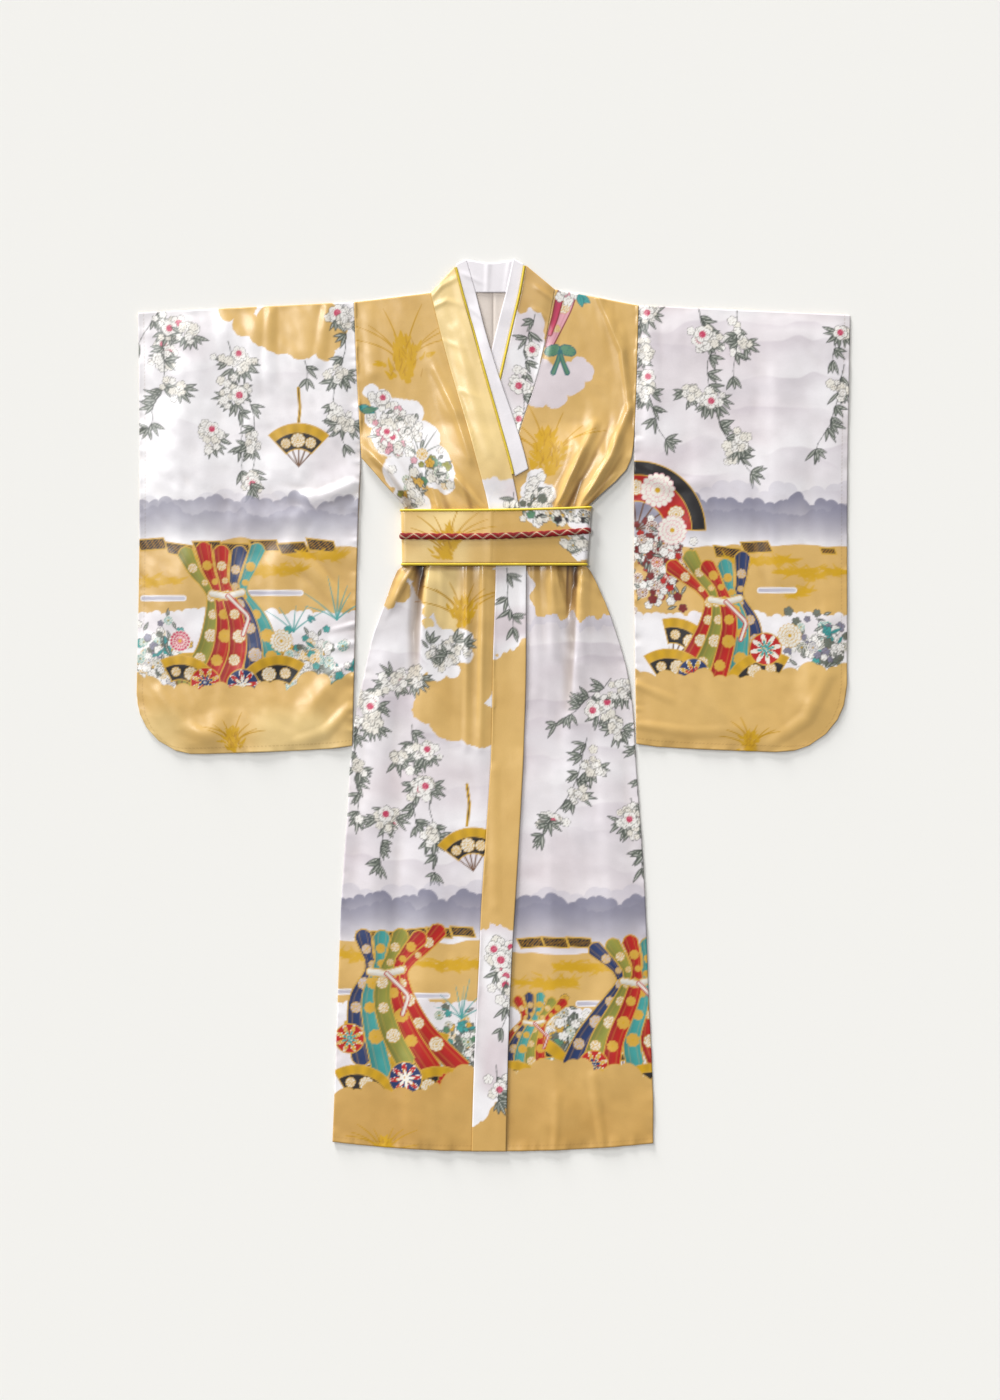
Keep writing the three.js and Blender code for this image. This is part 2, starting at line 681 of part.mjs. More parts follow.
// Back of the neck: the collar band with the white inner collar on it, standing up from the neckline
const standEdge = [
  { y: collarTopY, left: -43, right: 34, outLeft: -51, outRight: 43 },
  { y: neckY, left: -38, right: 32, outLeft: -46, outRight: 40 },
];
const standDip = 5; // the middle of the stand's upper edge sags
const bandTopY = 658; // the band's upper edge at the back of the neck
cloth("collar_back", colours.collar, {
  across: steps(6),
  along: steps(2),
  place: (u, v) => {
    const y = lerp(bandTopY, neckY + layerGap, v);
    return [lerp(at(standEdge, "outLeft", y), at(standEdge, "outRight", y), u), y];
  },
});
cloth("inner_collar_back", colours.innerCollar, {
  across: steps(8),
  along: steps(3),
  on: ["collar_back", "back_left", "back_right"],
  place: (u, v) => {
    const top = collarTopY - 2 - standDip * Math.sin(Math.PI * u) ** 2;
    const y = lerp(top, neckY - 1, v);
    return [lerp(at(standEdge, "left", y), at(standEdge, "right", y), u), y];
  },
});

// A strip of a collar between two columns of its table, its ends slanting between the given heights
function strip(table, [keyA, insetA], [keyB, insetB], rows, topEnds, lastEnds) {
  const [first, last] = [rows[0], rows.at(-1)];
  return (u, v) => {
    const y = slant(v, [first, lerp(...topEnds, u)], [last, lerp(...lastEnds, u)]);
    return [lerp(at(table, keyA, y) + insetA, at(table, keyB, y) + insetB, u), y];
  };
}

const pipeSpace = pipeRadius * 2 + layerGap * 2; // left free for the edging beside a band
const pipeMiddle = pipeRadius + layerGap;
const innerCollarRows = rowsDown([[664, 24]], 347);
const innerCollarEnd = 343;

// The front that lies beneath, with its inner collar, edging and collar band. A band has the rows of
// its front, so that the two keep their distance along the seam.
const frontAcross = 13;
const frontTop = frontRows[0][0];
const frontDown = rowsDown(frontRows, hemY);
const seamTop = { left: 618, right: 623 };
const neckLayers = ["back_left", "back_right", "inner_collar_back", "collar_back"];
cloth("front_right", colours.print, {
  across: steps(frontAcross),
  along: frontDown,
  on: ["back_left", "back_right"],
  relief: rightRelief,
  place: panelPlace(
    (y) => at(rightCollar, "seam", y) + layerGap,
    (y) => at(bodySide, "right", y),
    [frontTop, (u) => lerp(seamTop.right, shoulderY.right, u)],
    hemAt,
  ),
});
cloth("inner_collar_right", colours.innerCollar, {
  across: steps(3),
  along: innerCollarRows,
  on: neckLayers,
  place: strip(rightCollar, ["white", 0], ["inner", -pipeSpace], innerCollarRows, [669, 661], [350, 345]),
});
cloth("collar_right", colours.collar, {
  across: steps(4),
  along: frontDown,
  on: neckLayers,
  thick: bandThick,
  relief: rightRelief,
  place: strip(rightCollar, ["inner", 0], ["seam", 0], frontDown, [659, seamTop.right], [hemY, hemY]),
});
const edgingShape = { wide: pipeRadius * 2, high: pipeRadius * 2, sides: 7 };
const edgingLine = (table, sign, top) =>
  steps(16, top, innerCollarEnd + 3).map((y) => [at(table, "inner", y) + sign * pipeMiddle, y]);
layCord("edging_right", colours.piping, edgingLine(rightCollar, -1, 660), neckLayers, edgingShape);

// The front that lies on top, with the same four pieces
const beneath = [...neckLayers, "front_right", "inner_collar_right", "collar_right", "edging_right"];
cloth("front_left", colours.print, {
  across: steps(frontAcross),
  along: frontDown,
  on: beneath,
  relief: leftRelief,
  place: panelPlace(
    (y) => at(bodySide, "left", y),
    (y) => at(leftCollar, "seam", y) - layerGap,
    [frontTop, (u) => lerp(shoulderY.left, seamTop.left, u)],
    hemAt,
  ),
});
cloth("inner_collar_left", colours.innerCollar, {
  across: steps(3),
  along: innerCollarRows,
  on: beneath,
  place: strip(leftCollar, ["inner", pipeSpace], ["white", 0], innerCollarRows, [661, 668], [343, 354]),
});
cloth("collar_left", colours.collar, {
  across: steps(4),
  along: frontDown,
  on: beneath,
  thick: bandThick,
  relief: leftRelief,
  place: strip(leftCollar, ["seam", 0], ["inner", 0], frontDown, [seamTop.left, 657], [hemY, hemY]),
});
layCord("edging_left", colours.piping, edgingLine(leftCollar, 1, 658), beneath, edgingShape);

// The belt's front wall lies on the gathered cloth, clear of its highest fold
const waistLayers = ["back_left", "back_right", "front_left", "front_right", "collar_left", "collar_right"];
const waistHigh = (() => {
  const [bottom, top] = [obiBottom.y - 2 * obiPipeRadius, obiTop.y + obiClimb + 2 * obiPipeRadius];
  const heights = steps(24, bottom, top).flatMap((y) =>
    steps(60, -obiBottom.half, obiBottom.half).map((x) => restHeight(waistLayers, x, y, 0)),
  );
  return Math.max(...heights) + obiPipeRadius - obiEdgeMiddle;
})();
const obiAcross = 12;
const obiRing = (v, grow) => [
  ...obiHalf(v, grow, waistHigh, true, obiAcross),
  ...obiHalf(v, grow, waistHigh, false, obiAcross),
];

function addObi() {
  const rows = steps(4);
  const points = [...rows.flatMap((v) => obiRing(v, obiThick)), ...rows.flatMap((v) => obiRing(v, 0))];
  const inside = points.length / 2;
  const round = inside / rows.length;
  const faces = [];
  const quad = (a, b, c, d) => faces.push([a, b, c], [a, c, d]);
  for (let i = 0; i < round; i++) {
    const next = (i + 1) % round;
    for (let r = 0; r + 1 < rows.length; r++) {
      const [a, b] = [r * round + i, r * round + next];
      quad(a, a + round, b + round, b);
      quad(a + inside, b + inside, b + inside + round, a + inside + round);
    }
    const end = (rows.length - 1) * round;
    quad(i, next, next + inside, i + inside);
    quad(end + i, end + i + inside, end + next + inside, end + next);
  }
  addPiece("obi", colours.obi, points, faces);
  laid.obi = new HeightMap().cover(points, faces);
}
addObi();

// Edging all round both edges of the belt
const obiEdging = { wide: obiPipeRadius * 2, high: obiPipeRadius * 2, sides: 7 };
for (const [name, v] of [["obi_edging_top", 1 + edgingOut], ["obi_edging_bottom", -edgingOut]]) {
  const middles = obiRing(v, obiEdgeMiddle);
  for (const p of middles) p.z = Math.max(p.z, obiPipeRadius);
  const rings = middles.map((p, i) => {
    const along = alongOf(middles, i, true);
    const up = along.clone().cross(new THREE.Vector3(0, 1, 0)).normalize();
    return ring(p, up.clone().cross(along), up, obiEdging);
  });
  loft(name, colours.piping, rings, { closed: true });
}

// The flat braid tied round the middle of the belt, its ends sewn down at the sides
const braidUp = { left: 0.525, middle: 0.508, right: 0.6 }; // as v, up the belt
const braidShape = { wide: braidWidth, high: braidHigh, sides: 8 };
const braidAcross = 20;
const braidV = (t) =>
  lerp(braidUp.left, braidUp.right, t ** 2.5) - 4 * (braidUp.left - braidUp.middle) * t * (1 - t);
const braidLift = obiThick + layerGap + braidHigh / 2;
const braidMiddles = (() => {
  const across = obiHalf(0.5, braidLift, waistHigh, true, braidAcross);
  const right = across[0].x;
  const left = across.at(-1).x;
  return across.map((p, i) => {
    const v = braidV((p.x - left) / (right - left));
    return obiHalf(v, braidLift, waistHigh, true, braidAcross)[i];
  });
})();
const braidRings = braidMiddles.map((p, i) => {
  const along = alongOf(braidMiddles, i);
  const up = along.clone().cross(new THREE.Vector3(0, -1, 0)).normalize();
  return ring(p, up.clone().cross(along), up, braidShape);
});
loft("obi_braid", colours.braid, braidRings, { material: { roughness: 0.8 } });

export default yukata;
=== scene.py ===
import math

import bpy
import numpy as np
from mathutils.bvhtree import BVHTree
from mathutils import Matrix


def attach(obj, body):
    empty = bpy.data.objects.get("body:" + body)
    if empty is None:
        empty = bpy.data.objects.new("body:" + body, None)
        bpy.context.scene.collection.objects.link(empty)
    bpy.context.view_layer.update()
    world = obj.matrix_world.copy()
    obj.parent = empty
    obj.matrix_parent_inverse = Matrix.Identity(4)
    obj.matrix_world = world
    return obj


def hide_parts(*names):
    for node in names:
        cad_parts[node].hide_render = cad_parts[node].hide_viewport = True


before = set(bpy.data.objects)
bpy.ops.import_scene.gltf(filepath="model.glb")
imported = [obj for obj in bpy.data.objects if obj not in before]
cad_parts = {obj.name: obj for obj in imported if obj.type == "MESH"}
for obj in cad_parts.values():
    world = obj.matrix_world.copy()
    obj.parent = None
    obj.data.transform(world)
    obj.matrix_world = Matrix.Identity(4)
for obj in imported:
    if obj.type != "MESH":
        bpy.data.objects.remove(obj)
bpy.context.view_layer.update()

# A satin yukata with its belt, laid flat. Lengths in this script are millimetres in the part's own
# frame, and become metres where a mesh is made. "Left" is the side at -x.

mm = 0.001

# Colours, as a screen shows them
tint = {
    "gold": (226, 185, 110),
    # Painted highlight on the gold satin
    "goldHighlight": (249, 219, 152),
    "beltGold": (212, 170, 92),
    # Darker gold: the uneven tone of the gold, and painted shade towards the hem and near the neck of the
    # right collar
    "goldDark": (202, 154, 76),
    "white": (250, 247, 249),
    "lavender": (226, 214, 218),
    "mist": (138, 136, 156),
    "mistPale": (196, 192, 206),
    "washGrey": (205, 194, 203),
    "ochre": (217, 168, 14),
    "ochreDark": (182, 128, 8),
    "ochrePale": (219, 172, 62),
    "cream": (242, 237, 226),
    "petal": (249, 246, 241),
    "outline": (62, 56, 52),
    "leaf": (110, 118, 106),
    "leafDark": (56, 62, 58),
    "leafGreen": (92, 142, 110),
    "pink": (204, 62, 98),
    "pinkPale": (234, 170, 182),
    "red": (192, 20, 14),
    "redDark": (128, 16, 20),
    "teal": (66, 164, 160),
    "tealDark": (34, 104, 112),
    "navy": (26, 52, 104),
    "black": (28, 24, 26),
    "brown": (112, 72, 34),
    "olive": (150, 150, 60),
}


def linear(name):
    value = np.array(tint[name] if isinstance(name, str) else name, float) / 255
    return np.where(value <= 0.04045, value / 12.92, ((value + 0.055) / 1.055) ** 2.4)


def unit(value):
    return np.clip(value, 0, 1)


def ease(low, high, value):
    t = unit((value - low) / (high - low))
    return t * t * (3 - 2 * t)


# Smooth noise from -1 to 1 with patches of a given size
def noise(x, y, size, seed, stretch=1.0):
    table = np.random.default_rng(seed).uniform(-1, 1, (64, 64))
    gx, gy = x / (size * stretch), y / size
    ix, iy = np.floor(gx).astype(int), np.floor(gy).astype(int)
    fx, fy = gx - ix, gy - iy
    fx, fy = fx * fx * (3 - 2 * fx), fy * fy * (3 - 2 * fy)
    low = table[ix % 64, iy % 64] * (1 - fx) + table[(ix + 1) % 64, iy % 64] * fx
    high = table[ix % 64, (iy + 1) % 64] * (1 - fx) + table[(ix + 1) % 64, (iy + 1) % 64] * fx
    return low * (1 - fy) + high * fy


# The same along one line
def wavy(x, size, seed):
    return noise(x, x * 0, size, seed)


# Reading the frame

meshes = {}


def cadMesh(node):
    if node not in meshes:
        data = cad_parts[node].data
        data.calc_loop_triangles()
        points = np.zeros(len(data.vertices) * 3)
        data.vertices.foreach_get("co", points)
        points = points.reshape(-1, 3) / mm
        triangles = np.zeros(len(data.loop_triangles) * 3, int)
        data.loop_triangles.foreach_get("vertices", triangles)
        spots, index = np.unique(np.round(points / 0.004).astype(int), axis=0, return_inverse=True)
        meshes[node] = spots * 0.004, index.ravel()[triangles].reshape(-1, 3)
    return meshes[node]


# The plan outline of a sheet: the edge of its upper side, anticlockwise
def outlineOf(node):
    points, triangles = cadMesh(node)
    a, b, c = (points[triangles[:, k]] for k in range(3))
    normal = np.cross(b - a, c - a)
    normal /= np.maximum(np.linalg.norm(normal, axis=1), 1e-9)[:, None]
    top = triangles[normal[:, 2] > 0.3]
    edges = {(int(t[k]), int(t[(k + 1) % 3])) for t in top for k in range(3)}
    follow = {p: q for p, q in edges if (q, p) not in edges}
    start = next(iter(follow))
    loop = [start]
    while follow[loop[-1]] != start:
        loop.append(follow[loop[-1]])
    return points[loop][:, :2]


# Directions that pick the lower left, lower right, upper right and upper left corner of an outline
panelCorners = [(-0.3, -1), (0.3, -1), (0.3, 1), (-0.3, 1)]
stripCorners = {
    "right": [(-0.3, -1), (0.3, -1), (1, 0.4), (-0.3, 1)],
    "left": [(-0.3, -1), (0.3, -1), (0.3, 1), (-1, 0.4)],
    "inner_right": [(-0.3, -1), (0.3, -1), (1, 0.5), (-0.3, 1)],
    "inner_left": [(-0.3, -1), (1, -0.8), (0.3, 1), (-1, 0.5)],
}


# The part of a closed loop from one of its points to another
def span(loop, start, end):
    return loop[start:end + 1] if start <= end else np.vstack([loop[start:], loop[:end + 1]])


# A grid of points in plan that fills an outline, from its four sides
def fillOutline(loop, corners, step):
    at = [int(np.argmax(loop @ np.array(way, float))) for way in corners]
    sides = [span(loop, at[k], at[(k + 1) % 4]) for k in range(4)]
    across = math.ceil(max(np.ptp(sides[0][:, 0]), np.ptp(sides[2][:, 0])) / step)
    along = math.ceil(np.ptp(loop[:, 1]) / step)

    def even(side, axis, count):
        t = (side[:, axis] - side[0, axis]) / (side[-1, axis] - side[0, axis])
        t = np.maximum.accumulate(t)
        wanted = np.linspace(0, 1, count + 1)
        return np.stack([np.interp(wanted, t, side[:, k]) for k in range(2)], axis=1)

    bottom = even(sides[0], 0, across)
    right = even(sides[1], 1, along)
    top = even(sides[2][::-1], 0, across)
    left = even(sides[3][::-1], 1, along)
    u, v = np.linspace(0, 1, across + 1)[None, :, None], np.linspace(0, 1, along + 1)[:, None, None]
    return (
        (1 - v) * bottom[None] + v * top[None] + (1 - u) * left[:, None] + u * right[:, None]
        - (1 - u) * (1 - v) * bottom[0] - u * (1 - v) * bottom[-1] - (1 - u) * v * top[0] - u * v * top[-1]
    )


# The height of a node's upper side under each point of a grid, with its facets smoothed away
def heightsOf(node, grid, smoothing):
    points, triangles = cadMesh(node)
    tree = BVHTree.FromPolygons(points.tolist(), triangles.tolist())
    rows, columns = grid.shape[:2]
    stride = 3
    rowAt = np.unique(np.append(np.arange(0, rows, stride), rows - 1))
    columnAt = np.unique(np.append(np.arange(0, columns, stride), columns - 1))
    coarse = np.zeros((len(rowAt), len(columnAt)))
    inner = np.clip(rowAt, 1, rows - 2), np.clip(columnAt, 1, columns - 2)
    for i, r in enumerate(rowAt):
        for j, c in enumerate(columnAt):
            p = grid[r, c] * 0.6 + grid[inner[0][i], inner[1][j]] * 0.4
            hit = tree.ray_cast((p[0], p[1], 200), (0, 0, -1))[0]
            if hit is None:
                hit = tree.find_nearest((p[0], p[1], 3))[0]
            coarse[i, j] = hit[2]
    wide = np.stack([np.interp(np.arange(columns), columnAt, row) for row in coarse])
    fine = np.stack([np.interp(np.arange(rows), rowAt, column) for column in wide.T], axis=1)
    return soften(fine, smoothing)


def soften(z, passes):
    for _ in range(passes):
        p = np.pad(z, 1, mode="edge")
        z = (p[1:-1, 1:-1] * 2 + p[:-2, 1:-1] + p[2:, 1:-1] + p[1:-1, :-2] + p[1:-1, 2:]) / 6
    return z


# Creases are placed one by one: each is a line of stations (x, y, height, spread on the right, spread
# on the left), right and left as one goes along it. sharp makes the crest narrower.
def creaseHeight(x, y, stations, sharp=1.0, ends=16):
    best, height = np.full(x.shape, np.inf), np.zeros(x.shape)
    for a, b in zip(stations, stations[1:]):
        dx, dy = b[0] - a[0], b[1] - a[1]
        length = math.hypot(dx, dy)
        along = ((x - a[0]) * dx + (y - a[1]) * dy) / length
        t = unit(along / length)
        aside = ((y - a[1]) * dx - (x - a[0]) * dy) / length
        past = np.maximum(np.maximum(-along, along - length), 0)
        away = np.hypot(aside, past)
        spread = np.where(aside > 0, a[4] + (b[4] - a[4]) * t, a[3] + (b[3] - a[3]) * t)
        across = unit(1 - np.abs(aside / spread) ** (2 / sharp)) ** 2
        end = unit(1 - (past / ends) ** 2) ** 2
        high = (a[2] + (b[2] - a[2]) * t) * across * end
        closer = away < best
        height = np.where(closer, high, height)
        best = np.where(closer, away, best)
    return height


# Printing: colours are laid on the points of a piece, shape after shape; painted highlights and shade are
# laid the same way

softEdge = 1.3


class Print:
    def __init__(self, grid, ground):
        self.shape = grid.shape[:2]
        self.x, self.y = grid[..., 0].ravel(), grid[..., 1].ravel()
        self.colour = np.tile(linear(ground), (len(self.x), 1))
        self.cell = 24.0
        bins = np.floor(self.x / self.cell) * 1000 + np.floor(self.y / self.cell)
        self.order = np.argsort(bins, kind="stable")
        self.bins = bins[self.order]

    # The points within reach of a place
    def near(self, x, y, reach):
        low, high = math.floor((y - reach) / self.cell), math.floor((y + reach) / self.cell)
        found = []
        for column in range(math.floor((x - reach) / self.cell), math.floor((x + reach) / self.cell) + 1):
            start = np.searchsorted(self.bins, column * 1000 + low)
            end = np.searchsorted(self.bins, column * 1000 + high, side="right")
            found.append(self.order[start:end])
        return np.concatenate(found)

    def lay(self, at, cover, colour):
        self.colour[at] += (linear(colour) - self.colour[at]) * unit(cover)[:, None]

    def everywhere(self, cover, colour):
        self.lay(slice(None), cover, colour)

    # Place of the near points as seen from a motif: along its own axis and aside
    def local(self, x, y, reach, angle):
        at = self.near(x, y, reach)
        dx, dy = self.x[at] - x, self.y[at] - y
        c, s = math.cos(angle), math.sin(angle)
        return at, dx * c + dy * s, dy * c - dx * s


def inside(distance, edge=softEdge):
    return unit(0.5 - distance / edge)


def stroke(distance, width, edge=softEdge):
    return inside(np.abs(distance) - width / 2, edge)


def disc(p, x, y, radius, colour, strength=1.0):
    at, u, v = p.local(x, y, radius + 2, 0)
    p.lay(at, inside(np.hypot(u, v) - radius) * strength, colour)


# A curved brush line that tapers to its end
def brush(p, x, y, angle, length, bend, width, colour, strength=1.0):
    at, u, v = p.local(x, y, math.hypot(length, bend) + width, angle)
    t = unit(u / length)
    slope = 2 * bend * t / length
    taper = width * (1 - t) ** 0.6 + 0.5
    away = np.hypot((v - bend * t * t) / np.sqrt(1 + slope * slope),
                    np.maximum(np.maximum(-u, u - length), 0))
    p.lay(at, inside(away - taper / 2) * strength, colour)


def leaf(p, x, y, angle, length, width, kind="leaf"):
    at, u, v = p.local(x, y, length + 3, angle)
    t = unit(u / length)
    half = width / 2 * np.sin(np.pi * t ** 0.8) ** 0.9
    away = np.where((u > 0) & (u < length), np.abs(v) - half,
                    np.hypot(v, np.minimum(np.abs(u), np.abs(u - length))))
    dark = "leafDark" if kind == "leaf" else "tealDark"
    p.lay(at, inside(away), kind)
    p.lay(at, stroke(away, 1.1) * 0.85, dark)
    p.lay(at, stroke(v, 0.7) * inside(away + 1) * 0.7, "petal" if kind == "leaf" else dark)


# An open blossom: petals with drawn edges, stamens and, on some, a pink centre
def blossom(p, x, y, radius, turn, centre=None, petal="petal"):
    petals = 5
    at, u, v = p.local(x, y, radius * 1.2, turn)
    r, angle = np.hypot(u, v), np.arctan2(v, u)
    lobe = np.abs(np.cos(angle * petals / 2)) ** 0.5
    edge = radius * (0.68 + 0.32 * lobe)
    body = inside(r - edge)
    p.lay(at, body, petal)
    p.lay(at, stroke(r - edge, 0.8) * 0.8, "outline")
    gap = np.abs(np.cos(angle * petals / 2)) * r
    p.lay(at, inside(gap - 0.3) * inside(radius * 0.3 - r) * body * 0.6, "outline")
    if centre:
        p.lay(at, inside(r - radius * 0.42), centre)
        p.lay(at, (np.cos(angle * 9) > 0.3) * inside(r - radius * 0.36) * 0.3, "pinkPale")
        p.lay(at, (np.cos(angle * 13) > 0.2) * stroke(r - radius * 0.56, 1.6) * 0.5, "redDark")
    else:
        p.lay(at, (np.cos(angle * 7) > 0.2) * inside(np.abs(r - radius * 0.4) - 0.5) * 0.5, "brown")


# Many petals round a middle, as a chrysanthemum is drawn
def manyPetals(p, x, y, radius, turn, colour, edgeColour="cream", petals=16):
    at, u, v = p.local(x, y, radius * 1.1, turn)
    r, angle = np.hypot(u, v), np.arctan2(v, u)
    for ring, share in enumerate((1.0, 0.7, 0.42)):
        phase = angle * petals / 2 + ring * math.pi / 2
        edge = radius * share * (0.84 + 0.16 * np.abs(np.cos(phase)) ** 0.6)
        p.lay(at, inside(r - edge), colour)
        p.lay(at, stroke(r - edge, 1.2) * 0.9, edgeColour)
        spoke = np.abs(np.sin(phase + math.pi / 2)) * r * 2 / petals
        p.lay(at, inside(spoke - 0.25, 0.8) * inside(r - edge) * inside(radius * share * 0.5 - r) * 0.6,
              edgeColour)
    p.lay(at, inside(r - radius * 0.16), "ochre")


# A hanging branch with groups of slender leaves, fluffy clusters of blossom and a few pink centres
def hangingBranch(p, x, y, length, seed, lean=0.0, fullness=1.0):
    rng = np.random.default_rng(seed)
    px, py, heading = x, y, -math.pi / 2 + lean
    step, gone = 9.0, 0.0
    while gone < length:
        share = gone / length
        heading += rng.normal(0, 0.16) + (-math.pi / 2 + lean - heading) * 0.2
        brush(p, px, py, heading, step * 1.25, 0, 1.4 * (1 - 0.5 * share), "leafDark", 0.8)
        px, py = px + math.cos(heading) * step, py + math.sin(heading) * step
        gone += step
        if rng.random() < 0.42 * fullness * (1.15 - share) and gone > 8:
            cluster(p, px, py, rng, 16 * (1 - 0.35 * share))
        if rng.random() < 0.33:
            leafGroup(p, px, py, heading + rng.choice([-1, 1]) * rng.uniform(0.6, 1.2), rng)
    leafGroup(p, px, py, heading, rng)


# A puff of small blossoms with some pink ones at its middle, and leaves that hang out of it
def spray(p, x, y, seed, size=22.0, pinks=1):
    rng = np.random.default_rng(seed)
    for angle in (-2.9, -2.1, -1.5, -0.9, -0.2):
        if rng.random() < 0.6:
            leafGroup(p, x + math.cos(angle) * size * 0.7, y + math.sin(angle) * size * 0.6, angle, rng)
    for _ in range(int(size * 0.95)):
        bx, by = x + rng.normal(0, size * 0.52), y + rng.normal(0, size * 0.48)
        blossom(p, bx, by, rng.uniform(4.5, 7.5), rng.uniform(0, 6),
                petal=("petal", "cream")[rng.integers(2)])
    for _ in range(pinks):
        blossom(p, x + rng.normal(0, size * 0.3), y + rng.normal(0, size * 0.25), rng.uniform(11, 13),
                rng.uniform(0, 6), centre="pink")


# Bare vines (x, y, length, seed, lean), and the sprays (x, y, size, pinks) that hang on them
def vines(p, places, hung, seed):
    for x, y, length, branchSeed, lean in places:
        hangingBranch(p, x, y, length, branchSeed, lean, 0.15)
    for k, (x, y, size, pinks) in enumerate(hung):
        spray(p, x, y, seed + k, size, pinks)


# One kind of motif at several places
def several(p, motif, *places):
    for place in places:
        motif(p, *place)


def leafGroup(p, x, y, heading, rng):
    for side in (-0.55, 0.0, 0.5):
        leaf(p, x, y, heading + side + rng.normal(0, 0.12), rng.uniform(16, 25), rng.uniform(4.5, 6.5))


def cluster(p, x, y, rng, size, pinks=0.5):
    for _ in range(rng.integers(6, 10)):
        bx, by = x + rng.normal(0, size * 0.75), y + rng.normal(0, size * 0.75)
        blossom(p, bx, by, rng.uniform(5.5, 9), rng.uniform(0, 6),
                petal=("petal", "petal", "cream")[rng.integers(3)])
    if rng.random() < pinks:
        for _ in range(rng.integers(1, 3)):
            blossom(p, x + rng.normal(0, 7), y + rng.normal(0, 5), rng.uniform(11, 14), rng.uniform(0, 6),
                    centre="pink")
    if rng.random() < 0.6:
        leafGroup(p, x + rng.normal(0, size * 0.6), y - size * 0.3, rng.uniform(-2.6, -0.5), rng)


# A field with a cloud's edge, from discs (x, y, radius) that grow together
def cloudDistance(x, y, discs, wobble, seed):
    away = np.full(x.shape, np.inf)
    for cx, cy, radius in discs:
        away = np.minimum(away, np.hypot(x - cx, y - cy) - radius)
    return away + wobble * noise(x, y, 9, seed) + wobble * 0.6 * noise(x, y, 3.5, seed + 1)


def cloudField(p, discs, colour, wobble, seed):
    p.everywhere(inside(cloudDistance(p.x, p.y, discs, wobble, seed)), colour)


# Everything below a scalloped line: top, size of a scallop, how deep it is
def scallops(x, y, top, size, seed, slope=0.0):
    rng = np.random.default_rng(seed)
    centres = np.arange(-620, 620, size * 0.82)
    centres = centres + rng.uniform(-0.2, 0.2, len(centres)) * size
    lift = rng.uniform(-0.35, 0.35, len(centres)) * size
    radius = size * rng.uniform(0.5, 0.75, len(centres))
    away = y - (top + slope * x)
    for cx, up, r in zip(centres, lift, radius):
        away = np.minimum(away, np.hypot(x - cx, y - (top + slope * cx + up)) - r)
    return away


# A layer of mist: a crisp scalloped top that fades away downwards
def mistLayer(p, top, fade, size, seed, colour, strength=1.0, slope=0.0, swing=0.0):
    wave = swing * (wavy(p.x, 38, seed + 12) + 0.4 * wavy(p.x, 14, seed + 13))
    away = scallops(p.x, p.y - wave, top, size, seed, slope)
    depth = (top + slope * p.x + size * 0.4 + wave - p.y) / fade
    p.everywhere(inside(away, 1.6) * unit(1 - depth) ** 0.8 * strength, colour)


# Brushed ochre strokes that lie across the gold
def groundStrokes(p, x, y, wide, high, seed):
    rng = np.random.default_rng(seed)
    for _ in range(int(wide * high / 9)):
        t = rng.uniform(-1, 1)
        px = x + t * wide / 2
        py = y + rng.normal(0, high / 2.6) * (1 - t * t) + abs(t) * high * 0.3
        brush(p, px, py, rng.choice([0.2, 2.9]) + rng.normal(0, 0.3), rng.uniform(8, 19), rng.uniform(-2, 2),
              rng.uniform(3.0, 5.5), "ochre", 0.72)


# A sheaf of ochre grass: a brushed tuft, and long thin blades that arch outwards
def sheaf(p, x, y, size, seed, lean=0.0, tuft=1.0):
    rng = np.random.default_rng(seed)
    for side in (-1.3, -1.05, -0.75, -0.35, 0.3, 0.7, 1.0, 1.3):
        reach = size * rng.uniform(0.75, 1.0)
        by = y + size * rng.uniform(0.02, 0.3)
        for width, colour, strength in ((2.6, "ochre", 1.0), (1.2, "ochreDark", 0.7)):
            brush(p, x + side * size * 0.05, by, math.pi / 2 - side * 0.35 - lean, reach,
                  -reach * side * 0.62, width, colour, strength)
    for _ in range(int(60 * tuft)):
        up = rng.uniform(-0.08, 0.62)
        side = rng.normal(0, 0.05 + 0.1 * math.sin(math.pi * min(1, (up + 0.12) * 1.35)))
        px, py = x + (side + lean * up) * size, y + up * size
        brush(p, px, py, math.pi / 2 - side * 2.8 + rng.normal(0, 0.45), size * rng.uniform(0.1, 0.2),
              size * rng.normal(0, 0.03), size * rng.uniform(0.05, 0.1), "ochre", 1.0)
    for _ in range(int(18 * tuft)):
        up, side = rng.uniform(0, 0.6), rng.normal(0, 0.12)
        brush(p, x + side * size, y + up * size, rng.uniform(0.9, 2.2), size * 0.14, 0, 1.2, "ochreDark",
              0.6)


# A rounded bar of pale mist with a light edge
def mistBar(p, x, y, wide, high=9):
    at, u, v = p.local(x, y, wide, 0)
    away = np.hypot(np.maximum(np.abs(u) - (wide - high) / 2, 0), v) - high / 2
    p.lay(at, inside(away), "white")
    p.lay(at, inside(away + high * 0.22) * (0.9 - 0.5 * u / wide), "mistPale")


